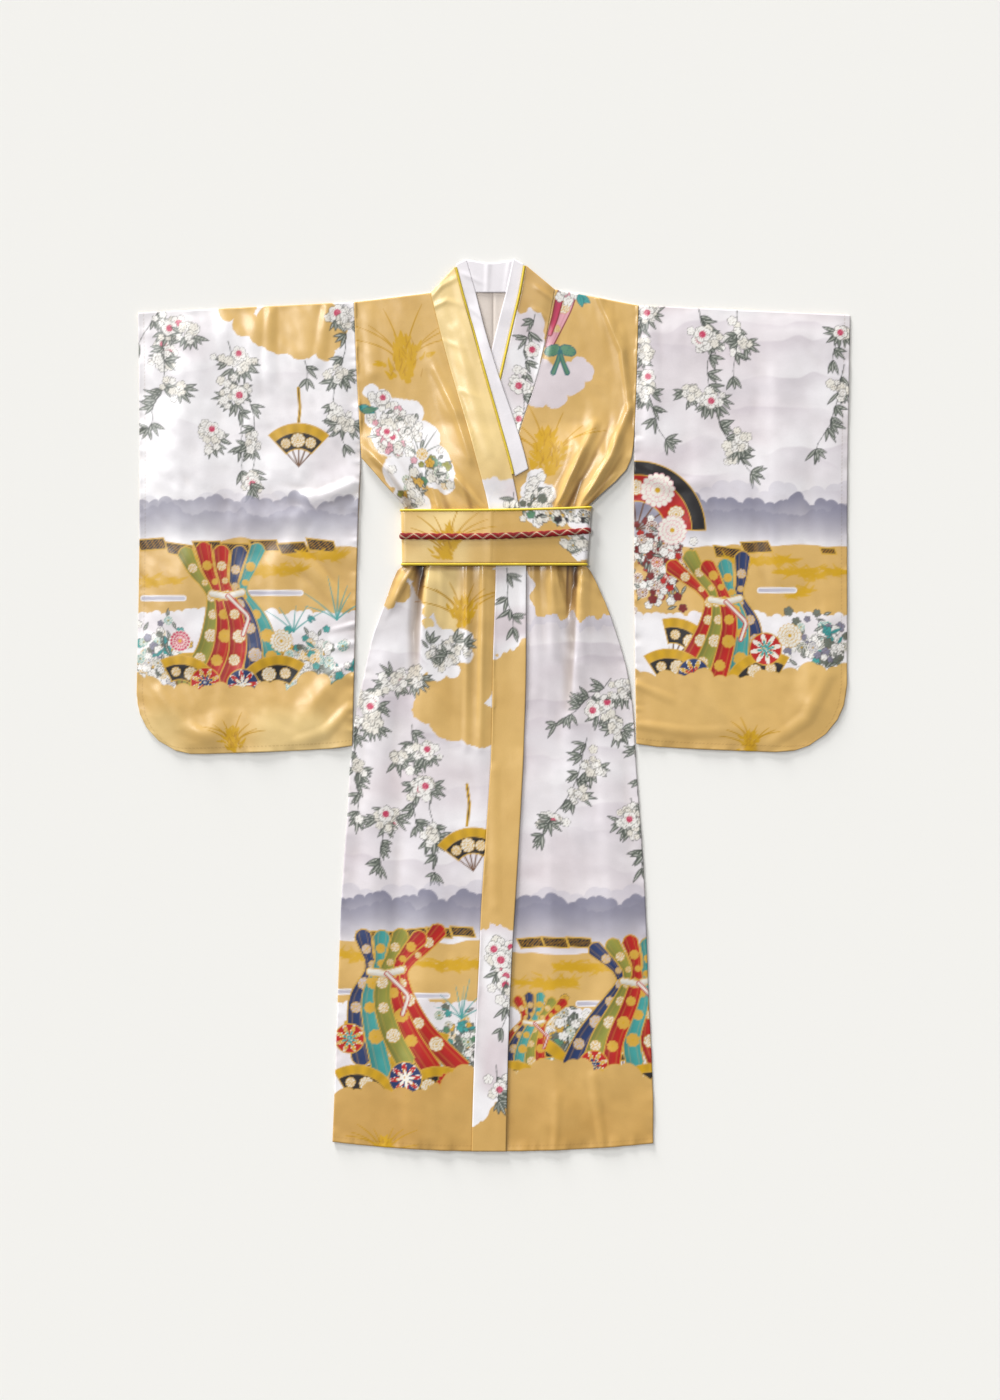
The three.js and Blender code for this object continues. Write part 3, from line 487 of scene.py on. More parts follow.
# A folding fan: leaf in two bands, ribs, and three rosettes on it
def fan(p, x, y, radius, turn, colour="black", band="ochre", opening=1.9):
    at, u, v = p.local(x, y, radius * 1.1, turn)
    r, angle = np.hypot(u, v), np.arctan2(v, u)
    wedge = (np.abs(angle) - opening / 2) * r
    shape = np.maximum(wedge, r - radius)
    leafPart = np.maximum(shape, radius * 0.42 - r)
    p.lay(at, inside(np.maximum(wedge, r - radius * 0.46)) * stroke(np.sin(angle * 9) * r / 9, 2.2), "brown")
    p.lay(at, inside(leafPart), colour)
    p.lay(at, inside(np.maximum(leafPart, radius * 0.8 - r)), band)
    p.lay(at, stroke(r - radius * 0.8, 1.4) * inside(wedge), "ochrePale")
    pleat = 0.5 + 0.5 * np.sin(angle * 20)
    p.lay(at, inside(leafPart) * pleat * 0.18, "black")
    p.lay(at, stroke(leafPart, 1.6), "ochrePale")
    for share, size in ((-0.3, 0.12), (0.02, 0.16), (0.33, 0.11)):
        way = turn + share * opening
        manyPetals(p, x + math.cos(way) * radius * 0.62, y + math.sin(way) * radius * 0.62, radius * size,
                   way, "cream", "ochrePale", petals=10)


# A thread-wound ball
def ball(p, x, y, radius, turn, colours):
    at, u, v = p.local(x, y, radius * 1.1, turn)
    r, angle = np.hypot(u, v), np.arctan2(v, u)
    body = inside(r - radius)
    p.lay(at, body, colours[0])
    star = np.abs(np.cos(angle * 4)) * radius * 0.95
    p.lay(at, body * inside(r - star), colours[1])
    p.lay(at, body * stroke(r - star, 1.5), "cream")
    p.lay(at, body * inside(r - star * 0.6), colours[2])
    p.lay(at, body * stroke(r - star * 0.6, 1.2), "ochrePale")
    p.lay(at, body * stroke(np.sin(angle * 4) * r, 1.1) * 0.7, "cream")
    p.lay(at, stroke(r - radius, 1.6), "ochrePale")


# A loose ribbon along a curve of points, cut off straight, with florets along it. width is one
# number, or several that are spread along it.
def ribbon(p, line, width, colour, edgeColour="ochrePale", floret=None):
    line = np.array(line, float)
    widths = np.array([width] if isinstance(width, (int, float)) else width, float)
    t = np.linspace(0, len(line) - 1, 44)
    path = np.stack([np.interp(t, np.arange(len(line)), line[:, k]) for k in range(2)], axis=1)
    for _ in range(12):
        path[1:-1] = (path[:-2] + path[1:-1] * 2 + path[2:]) / 4
    wide = np.interp(np.linspace(0, 1, len(path)), np.linspace(0, 1, len(widths)), widths)
    middle = path.mean(0)
    at = p.near(*middle, np.linalg.norm(path - middle, axis=1).max() + wide.max())
    place = np.stack([p.x[at], p.y[at]], axis=1)
    away, aside = np.full(len(at), np.inf), np.zeros(len(at))
    for k, (a, b) in enumerate(zip(path, path[1:])):
        d = b - a
        s = ((place - a) @ d) / (d @ d)
        beyond = ((s < 0) & (k == 0)) | ((s > 1) & (k == len(path) - 2))
        off = place - a - unit(s)[:, None] * d
        gap = np.linalg.norm(off, axis=1) - wide[k] / 2
        gap = np.where(beyond, 99, gap)
        closer = gap < away
        away = np.where(closer, gap, away)
        aside = np.where(closer, (off[:, 0] * d[1] - off[:, 1] * d[0]) / np.linalg.norm(d) / wide[k], aside)
    body = inside(away)
    p.lay(at, body, colour)
    p.lay(at, body * np.clip(aside + 0.1, 0, 0.5) * 0.7, "black")
    for shift in (-0.24, 0.2):
        p.lay(at, body * inside(np.abs(aside - shift) * 18 - 0.5) * 0.25, edgeColour)
    p.lay(at, stroke(away + 0.6, 1.7), edgeColour)
    if floret:
        count = max(2, int(np.linalg.norm(np.diff(path, axis=0), axis=1).sum() / wide.mean() / 1.3))
        for k in range(1, count):
            spot = int(k * (len(path) - 1) / count)
            x, y = path[spot]
            manyPetals(p, x + (k % 3 - 1) * 2, y, wide[spot] * (0.3 + 0.07 * (k % 2)), k, floret,
                       "ochrePale", petals=8)


# A bundle of broad ribbons that flow down side by side and are tied near the top
def ribbonBundle(p, x, y, high, seed, lean=0.0):
    rng = np.random.default_rng(seed)
    cast = [("red", "cream"), ("teal", "ochrePale"), ("navy", "mistPale"), ("red", "ochrePale"),
            ("olive", "cream")]
    order = rng.permutation(5)
    band = high * 0.115
    for k in (0, 4, 1, 3, 2):
        colour, floret = cast[order[k]]
        side = (k - 2) * band * 0.9
        line = []
        for t, spread in ((0.0, 1.3), (0.16, 0.9), (0.3, 0.42), (0.5, 0.85), (0.75, 1.15),
                          (1.0, 1.5 + 0.1 * k)):
            sway = high * 0.09 * math.sin(t * 5 + seed) + lean * high * (0.5 - t)
            end = band * rng.uniform(-0.5, 0.5) if t in (0.0, 1.0) else 0
            above = 0.5 - t
            line.append((x + sway + side * spread, y + high * above + end - abs(side) * 0.25 * above))
        ribbon(p, line, (band * 1.05, band * 0.6, band * 1.0, band * 1.15, band * 1.25), colour,
               "ochrePale", floret)
    knot = high * 0.09 * math.sin(1.5 + seed) + lean * high * 0.2
    ribbon(p, [(x + knot - band, y + high * 0.19), (x + knot, y + high * 0.17),
               (x + knot + band, y + high * 0.2)],
           band * 0.5, "cream", "ochrePale")
    ribbon(p, [(x + knot, y + high * 0.18), (x + knot + band * 1.4, y + high * 0.02),
               (x + knot + band, y - band)],
           band * 0.3, "cream", "red")


# A bush of blossoms and leaves in mixed colours
def bush(p, x, y, wide, high, seed, colours=("teal", "petal", "ochrePale", "leaf", "petal", "mist"),
         field=None):
    rng = np.random.default_rng(seed)
    for _ in range(int(wide * high / 46)):
        px = x + rng.normal(0, wide / 4)
        py = y + rng.normal(0, high / 4)
        if field and min(math.hypot(px - a, py - b) - r for a, b, r in field) > -5:
            continue
        pick = colours[rng.integers(len(colours))]
        pale = pick in ("petal", "cream", "pinkPale")
        kind = rng.random()
        if kind < (0.12 if pale else 0.35):
            leaf(p, px, py, rng.uniform(0, 6.3), rng.uniform(9, 17), 4.5,
                 "teal" if pick == "teal" else "leaf")
        elif kind < 0.6 and not pale:
            manyPetals(p, px, py, rng.uniform(6, 9), rng.uniform(0, 6), pick, "cream", petals=9)
        else:
            blossom(p, px, py, rng.uniform(4.5, 8), rng.uniform(0, 6), petal=pick)


# Narrow cards of dark paper with gilt stripes and edges, laid in a loose row
def paperCards(p, x, y, count, seed, size=46.0):
    rng = np.random.default_rng(seed)
    for k in range(count):
        turn = rng.uniform(-0.14, 0.14)
        at, u, v = p.local(x + k * size * 0.92, y + rng.uniform(-5, 5), size, turn)
        away = np.maximum(np.abs(u + 0.4 * v) - size * 0.45, np.abs(v) - size * 0.18)
        p.lay(at, inside(away), "black")
        p.lay(at, inside(away + 2) * (np.sin((u - v) * 1.3 + k) > 0.1) * (0.7 - 0.1 * (k % 3)), "ochreDark")
        p.lay(at, stroke(away, 2.2), "ochrePale")


# A bow of two loops and two cut tails
def bow(p, x, y, size, colour, edgeColour):
    for side in (-1, 1):
        ribbon(p, [(x, y), (x + side * size * 0.14, y - size * 0.55),
                   (x + side * size * 0.4, y - size * 1.2)],
               (size * 0.18, size * 0.3), colour, edgeColour)
        at, u, v = p.local(x + side * size * 0.42, y + size * 0.06, size, side * -0.35)
        away = np.hypot(u / 0.46, v / 0.3) - size
        p.lay(at, inside(away * 0.4), colour)
        folds = np.abs(np.sin(np.arctan2(v, u + side * size * 0.4) * 9)) * 5
        p.lay(at, inside(folds - 0.9) * inside(away * 0.4) * 0.6, edgeColour)
        p.lay(at, stroke(away * 0.4, 1.6), edgeColour)
    disc(p, x, y, size * 0.13, edgeColour)


def blades(p, x, y, length, seed, colour="teal", count=7):
    rng = np.random.default_rng(seed)
    for k in range(count):
        side = (k / (count - 1) - 0.5) * 1.7 + rng.normal(0, 0.1)
        brush(p, x, y, math.pi / 2 - side, length * rng.uniform(0.7, 1.1), -length * side * 0.22, 2.0,
              colour, 0.9)


# A soft wash below a wavy line, that fades away downwards and comes and goes along its length
def wash(p, top, fade, seed, colour, strength):
    wave = 14 * wavy(p.x, 80, seed) + 5 * wavy(p.x, 24, seed + 1)
    below = top + wave - p.y
    edge = unit(0.5 + below / 3.0)
    patchy = unit(0.4 + 1.1 * noise(p.x, p.y, 42, seed + 2, 1.8))
    p.everywhere(edge * unit(1 - below / fade) * patchy * strength, colour)


# White ground with faint lavender washes
def paleGround(p, seed, top, low, strength=1.0):
    p.everywhere(np.full(len(p.x), 1.0), "white")
    cloudy = noise(p.x, p.y, 60, seed, 2.0) * 0.4 + noise(p.x, p.y, 25, seed + 3, 2.0) * 0.2
    p.everywhere(unit(cloudy + 0.6 * strength - 0.1), "lavender")
    rng = np.random.default_rng(seed + 9)
    height = top
    while height > low:
        wash(p, height, rng.uniform(50, 90), int(rng.integers(9999)), "washGrey", 0.55 * strength)
        height -= rng.uniform(26, 60)


# Uneven gold, and a whole piece printed with it
def goldShade(p, seed):
    shade = noise(p.x, p.y, 70, seed) * 0.5 + noise(p.x, p.y, 24, seed + 1) * 0.25
    return unit(0.35 + shade) * 0.3


def goldGround(grid, seed):
    p = Print(grid, "gold")
    p.everywhere(goldShade(p, seed), "goldDark")
    return p


# The print from the mist down to the hem: mist, gold ground, and a pale field for the large motifs
def lowerPrint(p, seed, mistTop, goldTop, fieldTop, depth=1.0):
    deep = mistTop - goldTop
    mistLayer(p, mistTop + 5, 50, 26, seed, "mistPale", 0.4 * depth, 0.02)
    mistLayer(p, mistTop, deep * 1.1, 17, seed + 1, "mist", 0.95 * depth, swing=8)
    mistLayer(p, mistTop - 12, deep * 0.8, 10, seed + 6, "mist", 0.5 * depth, swing=9)
    away = p.y - goldTop - 7 * wavy(p.x, 75, seed + 2) - 2 * wavy(p.x, 20, seed + 5)
    p.everywhere(inside(away), "gold")
    p.everywhere(inside(away) * goldShade(p, seed), "goldDark")
    field = scallops(p.x, p.y, fieldTop, 14, seed + 3)
    p.everywhere(inside(field), "white")
    p.everywhere(inside(field) * unit(noise(p.x, p.y, 30, seed, 2) + 0.4) * 0.5, "lavender")


def lowerClouds(p, seed, cloudTop, size=26, swing=14):
    wave = swing * wavy(p.x, 62, seed + 11)
    away = scallops(p.x, p.y - wave, cloudTop, size, seed + 4)
    p.everywhere(inside(away), "gold")
    # Painted shade: the gold grows darker towards the hem, over its uneven tone
    p.everywhere(inside(away) * unit(goldShade(p, seed + 8) + ease(-420, -660, p.y) * 0.6), "goldDark")
    p.everywhere(stroke(away, 1.2) * 0.5, "ochrePale")


# Making the pieces

# Heights of all that has been laid so far, so that the next cloth lies on it
class Laid:
    cell, wide, long = 2.0, 1160, 1400

    def __init__(self):
        self.high = np.full((int(self.wide / self.cell), int(self.long / self.cell)), -1.0)

    def cells(self, x, y):
        i = np.clip(((x + self.wide / 2) / self.cell).astype(int), 1, self.high.shape[0] - 2)
        j = np.clip(((y + self.long / 2) / self.cell).astype(int), 1, self.high.shape[1] - 2)
        return i, j

    def add(self, grid, z):
        rows, columns = z.shape
        factor = max(1, math.ceil(gridStep(grid) / 1.4))
        r = np.linspace(0, rows - 1, rows * factor)
        c = np.linspace(0, columns - 1, columns * factor)
        x, y, high = (resample(a, r, c) for a in (grid[..., 0], grid[..., 1], z))
        np.maximum.at(self.high, self.cells(x, y), high)

    def under(self, x, y):
        i, j = self.cells(x, y)
        best = self.high[i, j]
        for di in (-1, 0, 1):
            for dj in (-1, 0, 1):
                best = np.maximum(best, self.high[i + di, j + dj])
        return best


def gridStep(grid):
    across = np.linalg.norm(np.diff(grid, axis=1), axis=2).max()
    return max(across, np.linalg.norm(np.diff(grid, axis=0), axis=2).max())


def resample(a, rows, columns):
    wide = np.stack([np.interp(columns, np.arange(a.shape[1]), row) for row in a])
    return np.stack([np.interp(rows, np.arange(a.shape[0]), column) for column in wide.T], axis=1)


laid = Laid()


def makeMesh(name, points, faces, colours=None):
    mesh = bpy.data.meshes.new(name)
    mesh.vertices.add(len(points))
    mesh.vertices.foreach_set("co", (points * mm).astype(np.float32).ravel())
    mesh.loops.add(faces.size)
    mesh.loops.foreach_set("vertex_index", faces.ravel().astype(np.int32))
    mesh.polygons.add(len(faces))
    mesh.polygons.foreach_set("loop_start", np.arange(0, faces.size, faces.shape[1], dtype=np.int32))
    mesh.update(calc_edges=True)
    mesh.validate()
    mesh.polygons.foreach_set("use_smooth", np.ones(len(mesh.polygons), bool))
    if colours is not None:
        # The vertex colours: the print, with painted shade and highlights laid into it
        layer = mesh.color_attributes.new("print", "FLOAT_COLOR", "POINT")
        layer.data.foreach_set("color", np.c_[colours, np.ones(len(colours))].astype(np.float32).ravel())
    thing = bpy.data.objects.new(name, mesh)
    bpy.context.scene.collection.objects.link(thing)
    return thing


def quads(rows, columns, closed=False):
    r, c = np.arange(rows - 1)[:, None], np.arange(columns if closed else columns - 1)[None, :]
    a, b = r * columns + c, r * columns + (c + 1) % columns
    return np.stack([a, b, b + columns, a + columns], axis=-1).reshape(-1, 4)


# Every cloth: its wall, how far above the one below it lies and may sink when it is smoothed, how
# widely it is smoothed to find its recesses, and how much painted shade they lay on the print, down to
# the deepest shade. The shade is painted darker at the waist: above and below the belt (y, reach).
sheet = {"thick": 1.1, "lowest": 0.05, "gap": 0.45, "sink": 0.15, "hollowPasses": 60, "hollowShade": 0.13,
         "waist": ((200, 60), (305, 40)), "waistShade": 0.16, "deepestShade": 0.25}


# A sheet from a grid, with a soft turned edge all round, and its other side where that shows
def clothMesh(name, grid, z, colour, under=None):
    rows, columns = z.shape
    points = np.dstack([grid, z]).reshape(-1, 3)
    number = np.arange(rows * columns).reshape(rows, columns)
    edge = np.concatenate([number[0], number[1:, -1], number[-1, -2::-1], number[-2:0:-1, 0]])
    loop = points[edge]
    along = np.roll(loop, -1, 0) - np.roll(loop, 1, 0)
    out = np.stack([along[:, 1], -along[:, 0]], axis=1)
    out /= np.maximum(np.linalg.norm(out, axis=1), 1e-6)[:, None]
    rings = []
    for aside, down in ((0.3, 0.4), (0.1, sheet["thick"])):
        ring = loop.copy()
        ring[:, :2] += out * aside
        ring[:, 2] = np.maximum(ring[:, 2] - down, sheet["lowest"])
        rings.append(ring)
    faces = [quads(rows, columns)]
    first = np.concatenate([edge, np.arange(len(points), len(points) + len(edge) * 2)]).reshape(3, -1)
    for upper, lower in zip(first, first[1:]):
        faces.append(np.stack([np.roll(upper, -1), upper, lower, np.roll(lower, -1)], axis=1))
    # The turned edge is painted darker: painted shade where the rim turns down under the cloth
    colour = np.vstack([colour, colour[edge] * 0.85, colour[edge] * 0.7])
    if under is not None:
        lower = points.copy()
        lower[:, 2] = np.maximum(lower[:, 2] - sheet["thick"], sheet["lowest"])
        faces.append(quads(rows, columns)[:, ::-1] + len(points) + len(edge) * 2)
        rings.append(lower)
        colour = np.vstack([colour, under])
    thing = makeMesh(name, np.vstack([points] + rings), np.vstack(faces), colour)
    if under is not None:
        shown = np.zeros(len(thing.data.polygons), np.int32)
        shown[-len(faces[-1]):] = 1
        thing.data.polygons.foreach_set("material_index", shown)
    return thing


# One cloth piece: its grid, its height on what lies under it, its creases, and its print with painted shade
def cloth(node, design, paint, material, corners=panelCorners):
    grid = fillOutline(outlineOf(node), corners, design["step"])
    z = heightsOf(node, grid, design["smoothing"])
    x, y = grid[..., 0], grid[..., 1]
    for stations, sharp in design.get("creases", ()):
        z = z + creaseHeight(x, y, stations, sharp)
    z = z + ripple(x, y, design)
    for side, size, high, reach in design.get("puckers", ()):
        z = z + puckers(grid, side, size, high, reach, design["seed"])
    base = laid.under(x, y) + sheet["gap"]
    z = np.maximum(z, base)
    z = np.maximum(soften(z, 3), base - sheet["sink"])
    # Painted shade: the print is darkened where the cloth lies in recesses, more at the waist, and along the
    # design's shade lines, and warmer where it is darker; the rows of stitches darken it as well
    hollow = np.clip(soften(z, sheet["hollowPasses"]) - z, 0, 4)
    waist = sum(unit(1 - np.abs(y - level) / reach) for level, reach in sheet["waist"])
    shade = np.clip(1 - (sheet["hollowShade"] + sheet["waistShade"] * waist) * hollow, sheet["deepestShade"], 1)
    for stations in design.get("shadeLines", ()):
        shade = shade * (1 - creaseHeight(x, y, stations))
    for side, inset in design.get("stitches", ()):
        shade = shade * (1 - stitches(grid, side, inset))
    shade = shade.ravel()
    colours = paint(grid) * np.stack([shade, shade ** 1.2, shade ** 1.45], axis=1)
    beneath = design["under"](grid) if "under" in design else None
    thing = clothMesh(node + "_cloth", grid, z, colours, under=beneath)
    thing.data.materials.append(material)
    if beneath is not None:
        thing.data.materials.append(satin)
    finishPiece(thing, node)
    laid.add(grid, z)
    print(node, "laid,", len(thing.data.polygons), "faces")
    return thing


# Says what the piece stands for: it stays with the root and takes a node's place
def finishPiece(thing, node):
    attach(thing, "root")
    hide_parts(node)


# Small unevenness of a soft cloth that has been smoothed by hand
def ripple(x, y, design):
    seed, high = design["seed"], design["ripple"]
    broad = noise(x - y * 0.2, y, 62, seed, 0.7) + noise(x + y * 0.3, y, 38, seed + 5, 0.6) * 0.6
    return high * (broad + 0.3 * noise(x + y * 0.4, y, 16, seed + 1, 0.7))


# Distance of each point from one side of its piece
def inwardFrom(grid, side):
    x, y = grid[..., 0], grid[..., 1]
    return {"bottom": y - y[:1], "top": y[-1:] - y, "left": x - x[:, :1], "right": x[:, -1:] - x}[side]


# Short puckers that a row of stitches draws into an edge
def puckers(grid, side, size, high, reach, seed):
    along = grid[..., 0] if side in ("bottom", "top") else grid[..., 1]
    wave = wavy(along, size, seed + 7) + 0.6 * wavy(along, size * 0.45, seed + 8)
    return high * wave * unit(1 - inwardFrom(grid, side) / reach) ** 1.5


# A row of stitches near an edge, as the share that it darkens the print
def stitches(grid, side, inset):
    along = grid[..., 0] if side in ("bottom", "top") else grid[..., 1]
    return stroke(inwardFrom(grid, side) - inset, 1.0) * (np.sin(along * 1.1) > -0.5) * 0.22


# Materials

def newMaterial(name, roughness, specular=0.5, sheen=0.0, coat=0.0):
    material = bpy.data.materials.new(name)
    material.use_nodes = True
    tree = material.node_tree
    shader = tree.nodes["Principled BSDF"]
    shader.inputs["Roughness"].default_value = roughness
    shader.inputs["Specular IOR Level"].default_value = specular
    shader.inputs["Sheen Weight"].default_value = sheen
    shader.inputs["Coat Weight"].default_value = coat
    shader.inputs["Coat Roughness"].default_value = 0.2
    return material, tree, shader


def add(tree, kind, **values):
    node = tree.nodes.new(kind)
    for key, value in values.items():
        if key in node.inputs:
            node.inputs[key].default_value = value
        else:
            setattr(node, key, value)
    return node


def speckle(tree, where, scale, detail=2.0):
    texture = add(tree, "ShaderNodeTexNoise", Scale=scale, Detail=detail)
    tree.links.new(where, texture.inputs["Vector"])
    return texture.outputs["Fac"]


# Threads with slubs, soft patches of wear and gloss, and underneath the print, with the painted shade and
# highlights laid into its colours
def clothMaterial(name, look):
    material, tree, shader = newMaterial(name, look["roughness"], look["specular"], look["sheen"],
                                         look["coat"])
    link = tree.links.new
    where = add(tree, "ShaderNodeTexCoord").outputs["Object"]
    stretch = add(tree, "ShaderNodeMapping", Scale=look.get("thread", (1, 0.35, 1)))
    link(where, stretch.inputs["Vector"])
    slub = speckle(tree, stretch.outputs["Vector"], look["weave"], 3.0)
    patches = speckle(tree, where, 26.0)
    both = add(tree, "ShaderNodeMath", operation="MULTIPLY")
    link(slub, both.inputs[0])
    link(patches, both.inputs[1])
    fade = add(tree, "ShaderNodeMapRange")
    fade.inputs["From Min"].default_value = 0.1
    fade.inputs["From Max"].default_value = 0.42
    fade.inputs["To Min"].default_value = 1 - look["variation"]
    fade.inputs["To Max"].default_value = 1.0
    link(both.outputs[0], fade.inputs["Value"])
    shade = add(tree, "ShaderNodeVectorMath", operation="SCALE")
    if "colour" in look:
        shade.inputs[0].default_value = linear(look["colour"])
    else:
        link(add(tree, "ShaderNodeAttribute", attribute_name="print").outputs["Color"], shade.inputs[0])
    link(fade.outputs["Result"], shade.inputs["Scale"])
    link(shade.outputs[0], shader.inputs["Base Color"])
    rough = add(tree, "ShaderNodeMapRange")
    rough.inputs["To Min"].default_value = look["roughness"] - 0.06
    rough.inputs["To Max"].default_value = look["roughness"] + 0.08
    link(patches, rough.inputs["Value"])
    link(rough.outputs["Result"], shader.inputs["Roughness"])
    broad = add(tree, "ShaderNodeBump", Strength=look["bump"], Distance=0.0008)
    link(speckle(tree, where, 90.0), broad.inputs["Height"])
    fine = add(tree, "ShaderNodeBump", Strength=look["bump"] * 0.6, Distance=0.0004)
    link(slub, fine.inputs["Height"])
    link(broad.outputs["Normal"], fine.inputs["Normal"])
    link(fine.outputs["Normal"], shader.inputs["Normal"])
    return material


satinLook = {"roughness": 0.30, "specular": 0.62, "sheen": 0.05, "coat": 0.25, "weave": 1500.0,
             "variation": 0.06, "bump": 0.12}
insideLook = {"roughness": 0.55, "specular": 0.35, "sheen": 0.1, "coat": 0.0, "weave": 1300.0,
              "variation": 0.08, "bump": 0.2}
innerCollarLook = {"roughness": 0.4, "specular": 0.6, "sheen": 0.15, "coat": 0.15, "weave": 1300.0,
                   "variation": 0.06,
             "bump": 0.16, "colour": (243, 238, 242)}
pipingLook = {"roughness": 0.45, "specular": 0.45, "sheen": 0.1, "coat": 0.0, "weave": 700.0,
              "variation": 0.14, "bump": 0.4, "colour": (228, 200, 54)}

satin = clothMaterial("satin_print", satinLook)
satinInside = clothMaterial("satin_inside", insideLook)
whiteSatin = clothMaterial("inner_collar_satin", innerCollarLook)
piping = clothMaterial("yellow_edging", pipingLook)


# The back, of which the inside shows at the neck

def paintBackOutside(grid):
    p = goldGround(grid, 84)
    pale = Print(grid, "white")
    paleGround(pale, 35, 180, -260)
    share = ease(-3, 3, 150 + 14 * wavy(p.x, 40, 85) - p.y)
    p.colour = p.colour + (pale.colour - p.colour) * share[:, None]
    cloudField(p, [(-90, 420, 50), (-50, 380, 44), (-120, 370, 40), (110, 470, 40), (80, 430, 36)], "white",
               3, 86)
    for x, y, size in ((-86, 414, 30), (-58, 384, 22), (-112, 384, 22), (104, 462, 24), (84, 432, 20)):
        manyPetals(p, x, y, size, 0.3, "red")
    lowerPrint(p, 83, -300, -360, -460)
    for x in (-130, 130):
        fan(p, x, -560, 90, 1.57, "red", "black")
    lowerClouds(p, 83, -580, 40, 22)
    return p.colour


def paintSleeveOutside(grid):
    p = Print(grid, "white")
    paleGround(p, 36, 560, 280, 0.8)
    lowerPrint(p, 87, 300, 244, 130)
    middle = (p.x.min() + p.x.max()) / 2
    fan(p, middle, 20, 100, 1.57, "red", "black")
    lowerClouds(p, 87, 20, 36, 20)
    return p.colour


backDesign = {"step": 5.6, "seed": 5, "ripple": 0.2, "smoothing": 3, "under": paintBackOutside}


def paintInside(grid):
    p = Print(grid, (228, 216, 206))
    p.everywhere(unit(noise(p.x, p.y, 30, 3) + 0.3) * 0.3, (214, 200, 190))
    p.everywhere(stroke(p.x + 4, 1.4) * 0.5, (190, 172, 160))
    return p.colour


print("inside of the back")
cloth("back_left", backDesign, paintInside, satinInside)
cloth("back_right", backDesign, paintInside, satinInside)


# Sleeves

sleeveBack = {"step": 6.0, "seed": 6, "ripple": 0.05, "smoothing": 2, "under": paintSleeveOutside}
# puckers: side, size, height and reach. stitches: side and inset. creases: stations and sharpness.
leftSleeve = {
    "step": 1.65, "seed": 11, "ripple": 0.9, "smoothing": 14,
    "puckers": (("left", 16, 0.5, 14), ("right", 14, 0.9, 16), ("bottom", 18, 0.9, 16),
                ("top", 20, 0.4, 10)),
    "stitches": (("left", 8), ("bottom", 8)),
    "creases": (
        ([(-334, 592, 1.5, 11, 11), (-337, 520, 1.0, 14, 14), (-331, 430, 0.3, 18, 18)], 1.0),
        ([(-250, 594, 1.3, 10, 10), (-262, 515, 0.7, 14, 14)], 1.0),
        ([(-212, 332, 2.2, 12, 18), (-262, 312, 1.8, 12, 18), (-320, 320, 0.5, 12, 18)], 1.0),
        ([(-322, 262, 0.4, 18, 18), (-270, 205, 1.9, 20, 15), (-220, 148, 1.3, 16, 12)], 1.0),
        ([(-213, 120, 1.3, 6, 6), (-243, 112, 0.3, 6, 6)], 1.0),
        ([(-213, 92, 1.5, 7, 6), (-250, 80, 0.3, 7, 7)], 1.0),
        ([(-214, 60, 1.1, 6, 6), (-242, 50, 0.2, 6, 6)], 1.0),
        ([(-217, -5, 1.0, 12, 10), (-252, -42, 1.6, 14, 12), (-304, -60, 0.4, 12, 12)], 1.0),
        ([(-455, 570, 1.2, 30, 40), (-440, 300, 1.8, 34, 44), (-452, 60, 1.2, 34, 40)], 1.0),
        ([(-500, 20, 0.6, 14, 14), (-466, -30, 1.1, 16, 14), (-400, -62, 0.5, 14, 12)], 1.0),
    ),
}
rightSleeve = {
    "step": 1.65, "seed": 21, "ripple": 0.55, "smoothing": 14,
    "puckers": (("left", 14, 0.8, 16), ("right", 18, 0.4, 12), ("bottom", 18, 0.9, 16),
                ("top", 20, 0.4, 10)),
    "stitches": (("right", 8), ("bottom", 8)),
    "creases": (
        ([(232, 592, 1.3, 12, 16), (238, 470, 1.1, 14, 18), (234, 390, 0.4, 16, 18)], 1.0),
        ([(304, 590, 0.6, 20, 24), (312, 400, 0.7, 26, 30), (300, 210, 0.6, 28, 30)], 1.0),
        ([(432, 575, 0.5, 30, 34), (444, 330, 0.7, 34, 38), (430, 60, 0.6, 34, 36)], 1.0),
        ([(214, 352, 1.9, 14, 10), (262, 330, 1.3, 14, 12), (318, 334, 0.4, 14, 14)], 1.0),
        ([(216, 30, 0.9, 8, 8), (262, 10, 0.5, 10, 10)], 1.0),
        ([(222, -30, 1.0, 10, 10), (300, -42, 0.8, 12, 12), (360, -38, 0.3, 12, 12)], 1.0),
        ([(500, 40, 0.8, 16, 14), (470, -20, 1.2, 16, 14), (420, -55, 0.5, 12, 12)], 1.0),
    ),
}


def paintGold(grid):
    return goldGround(grid, 4).colour


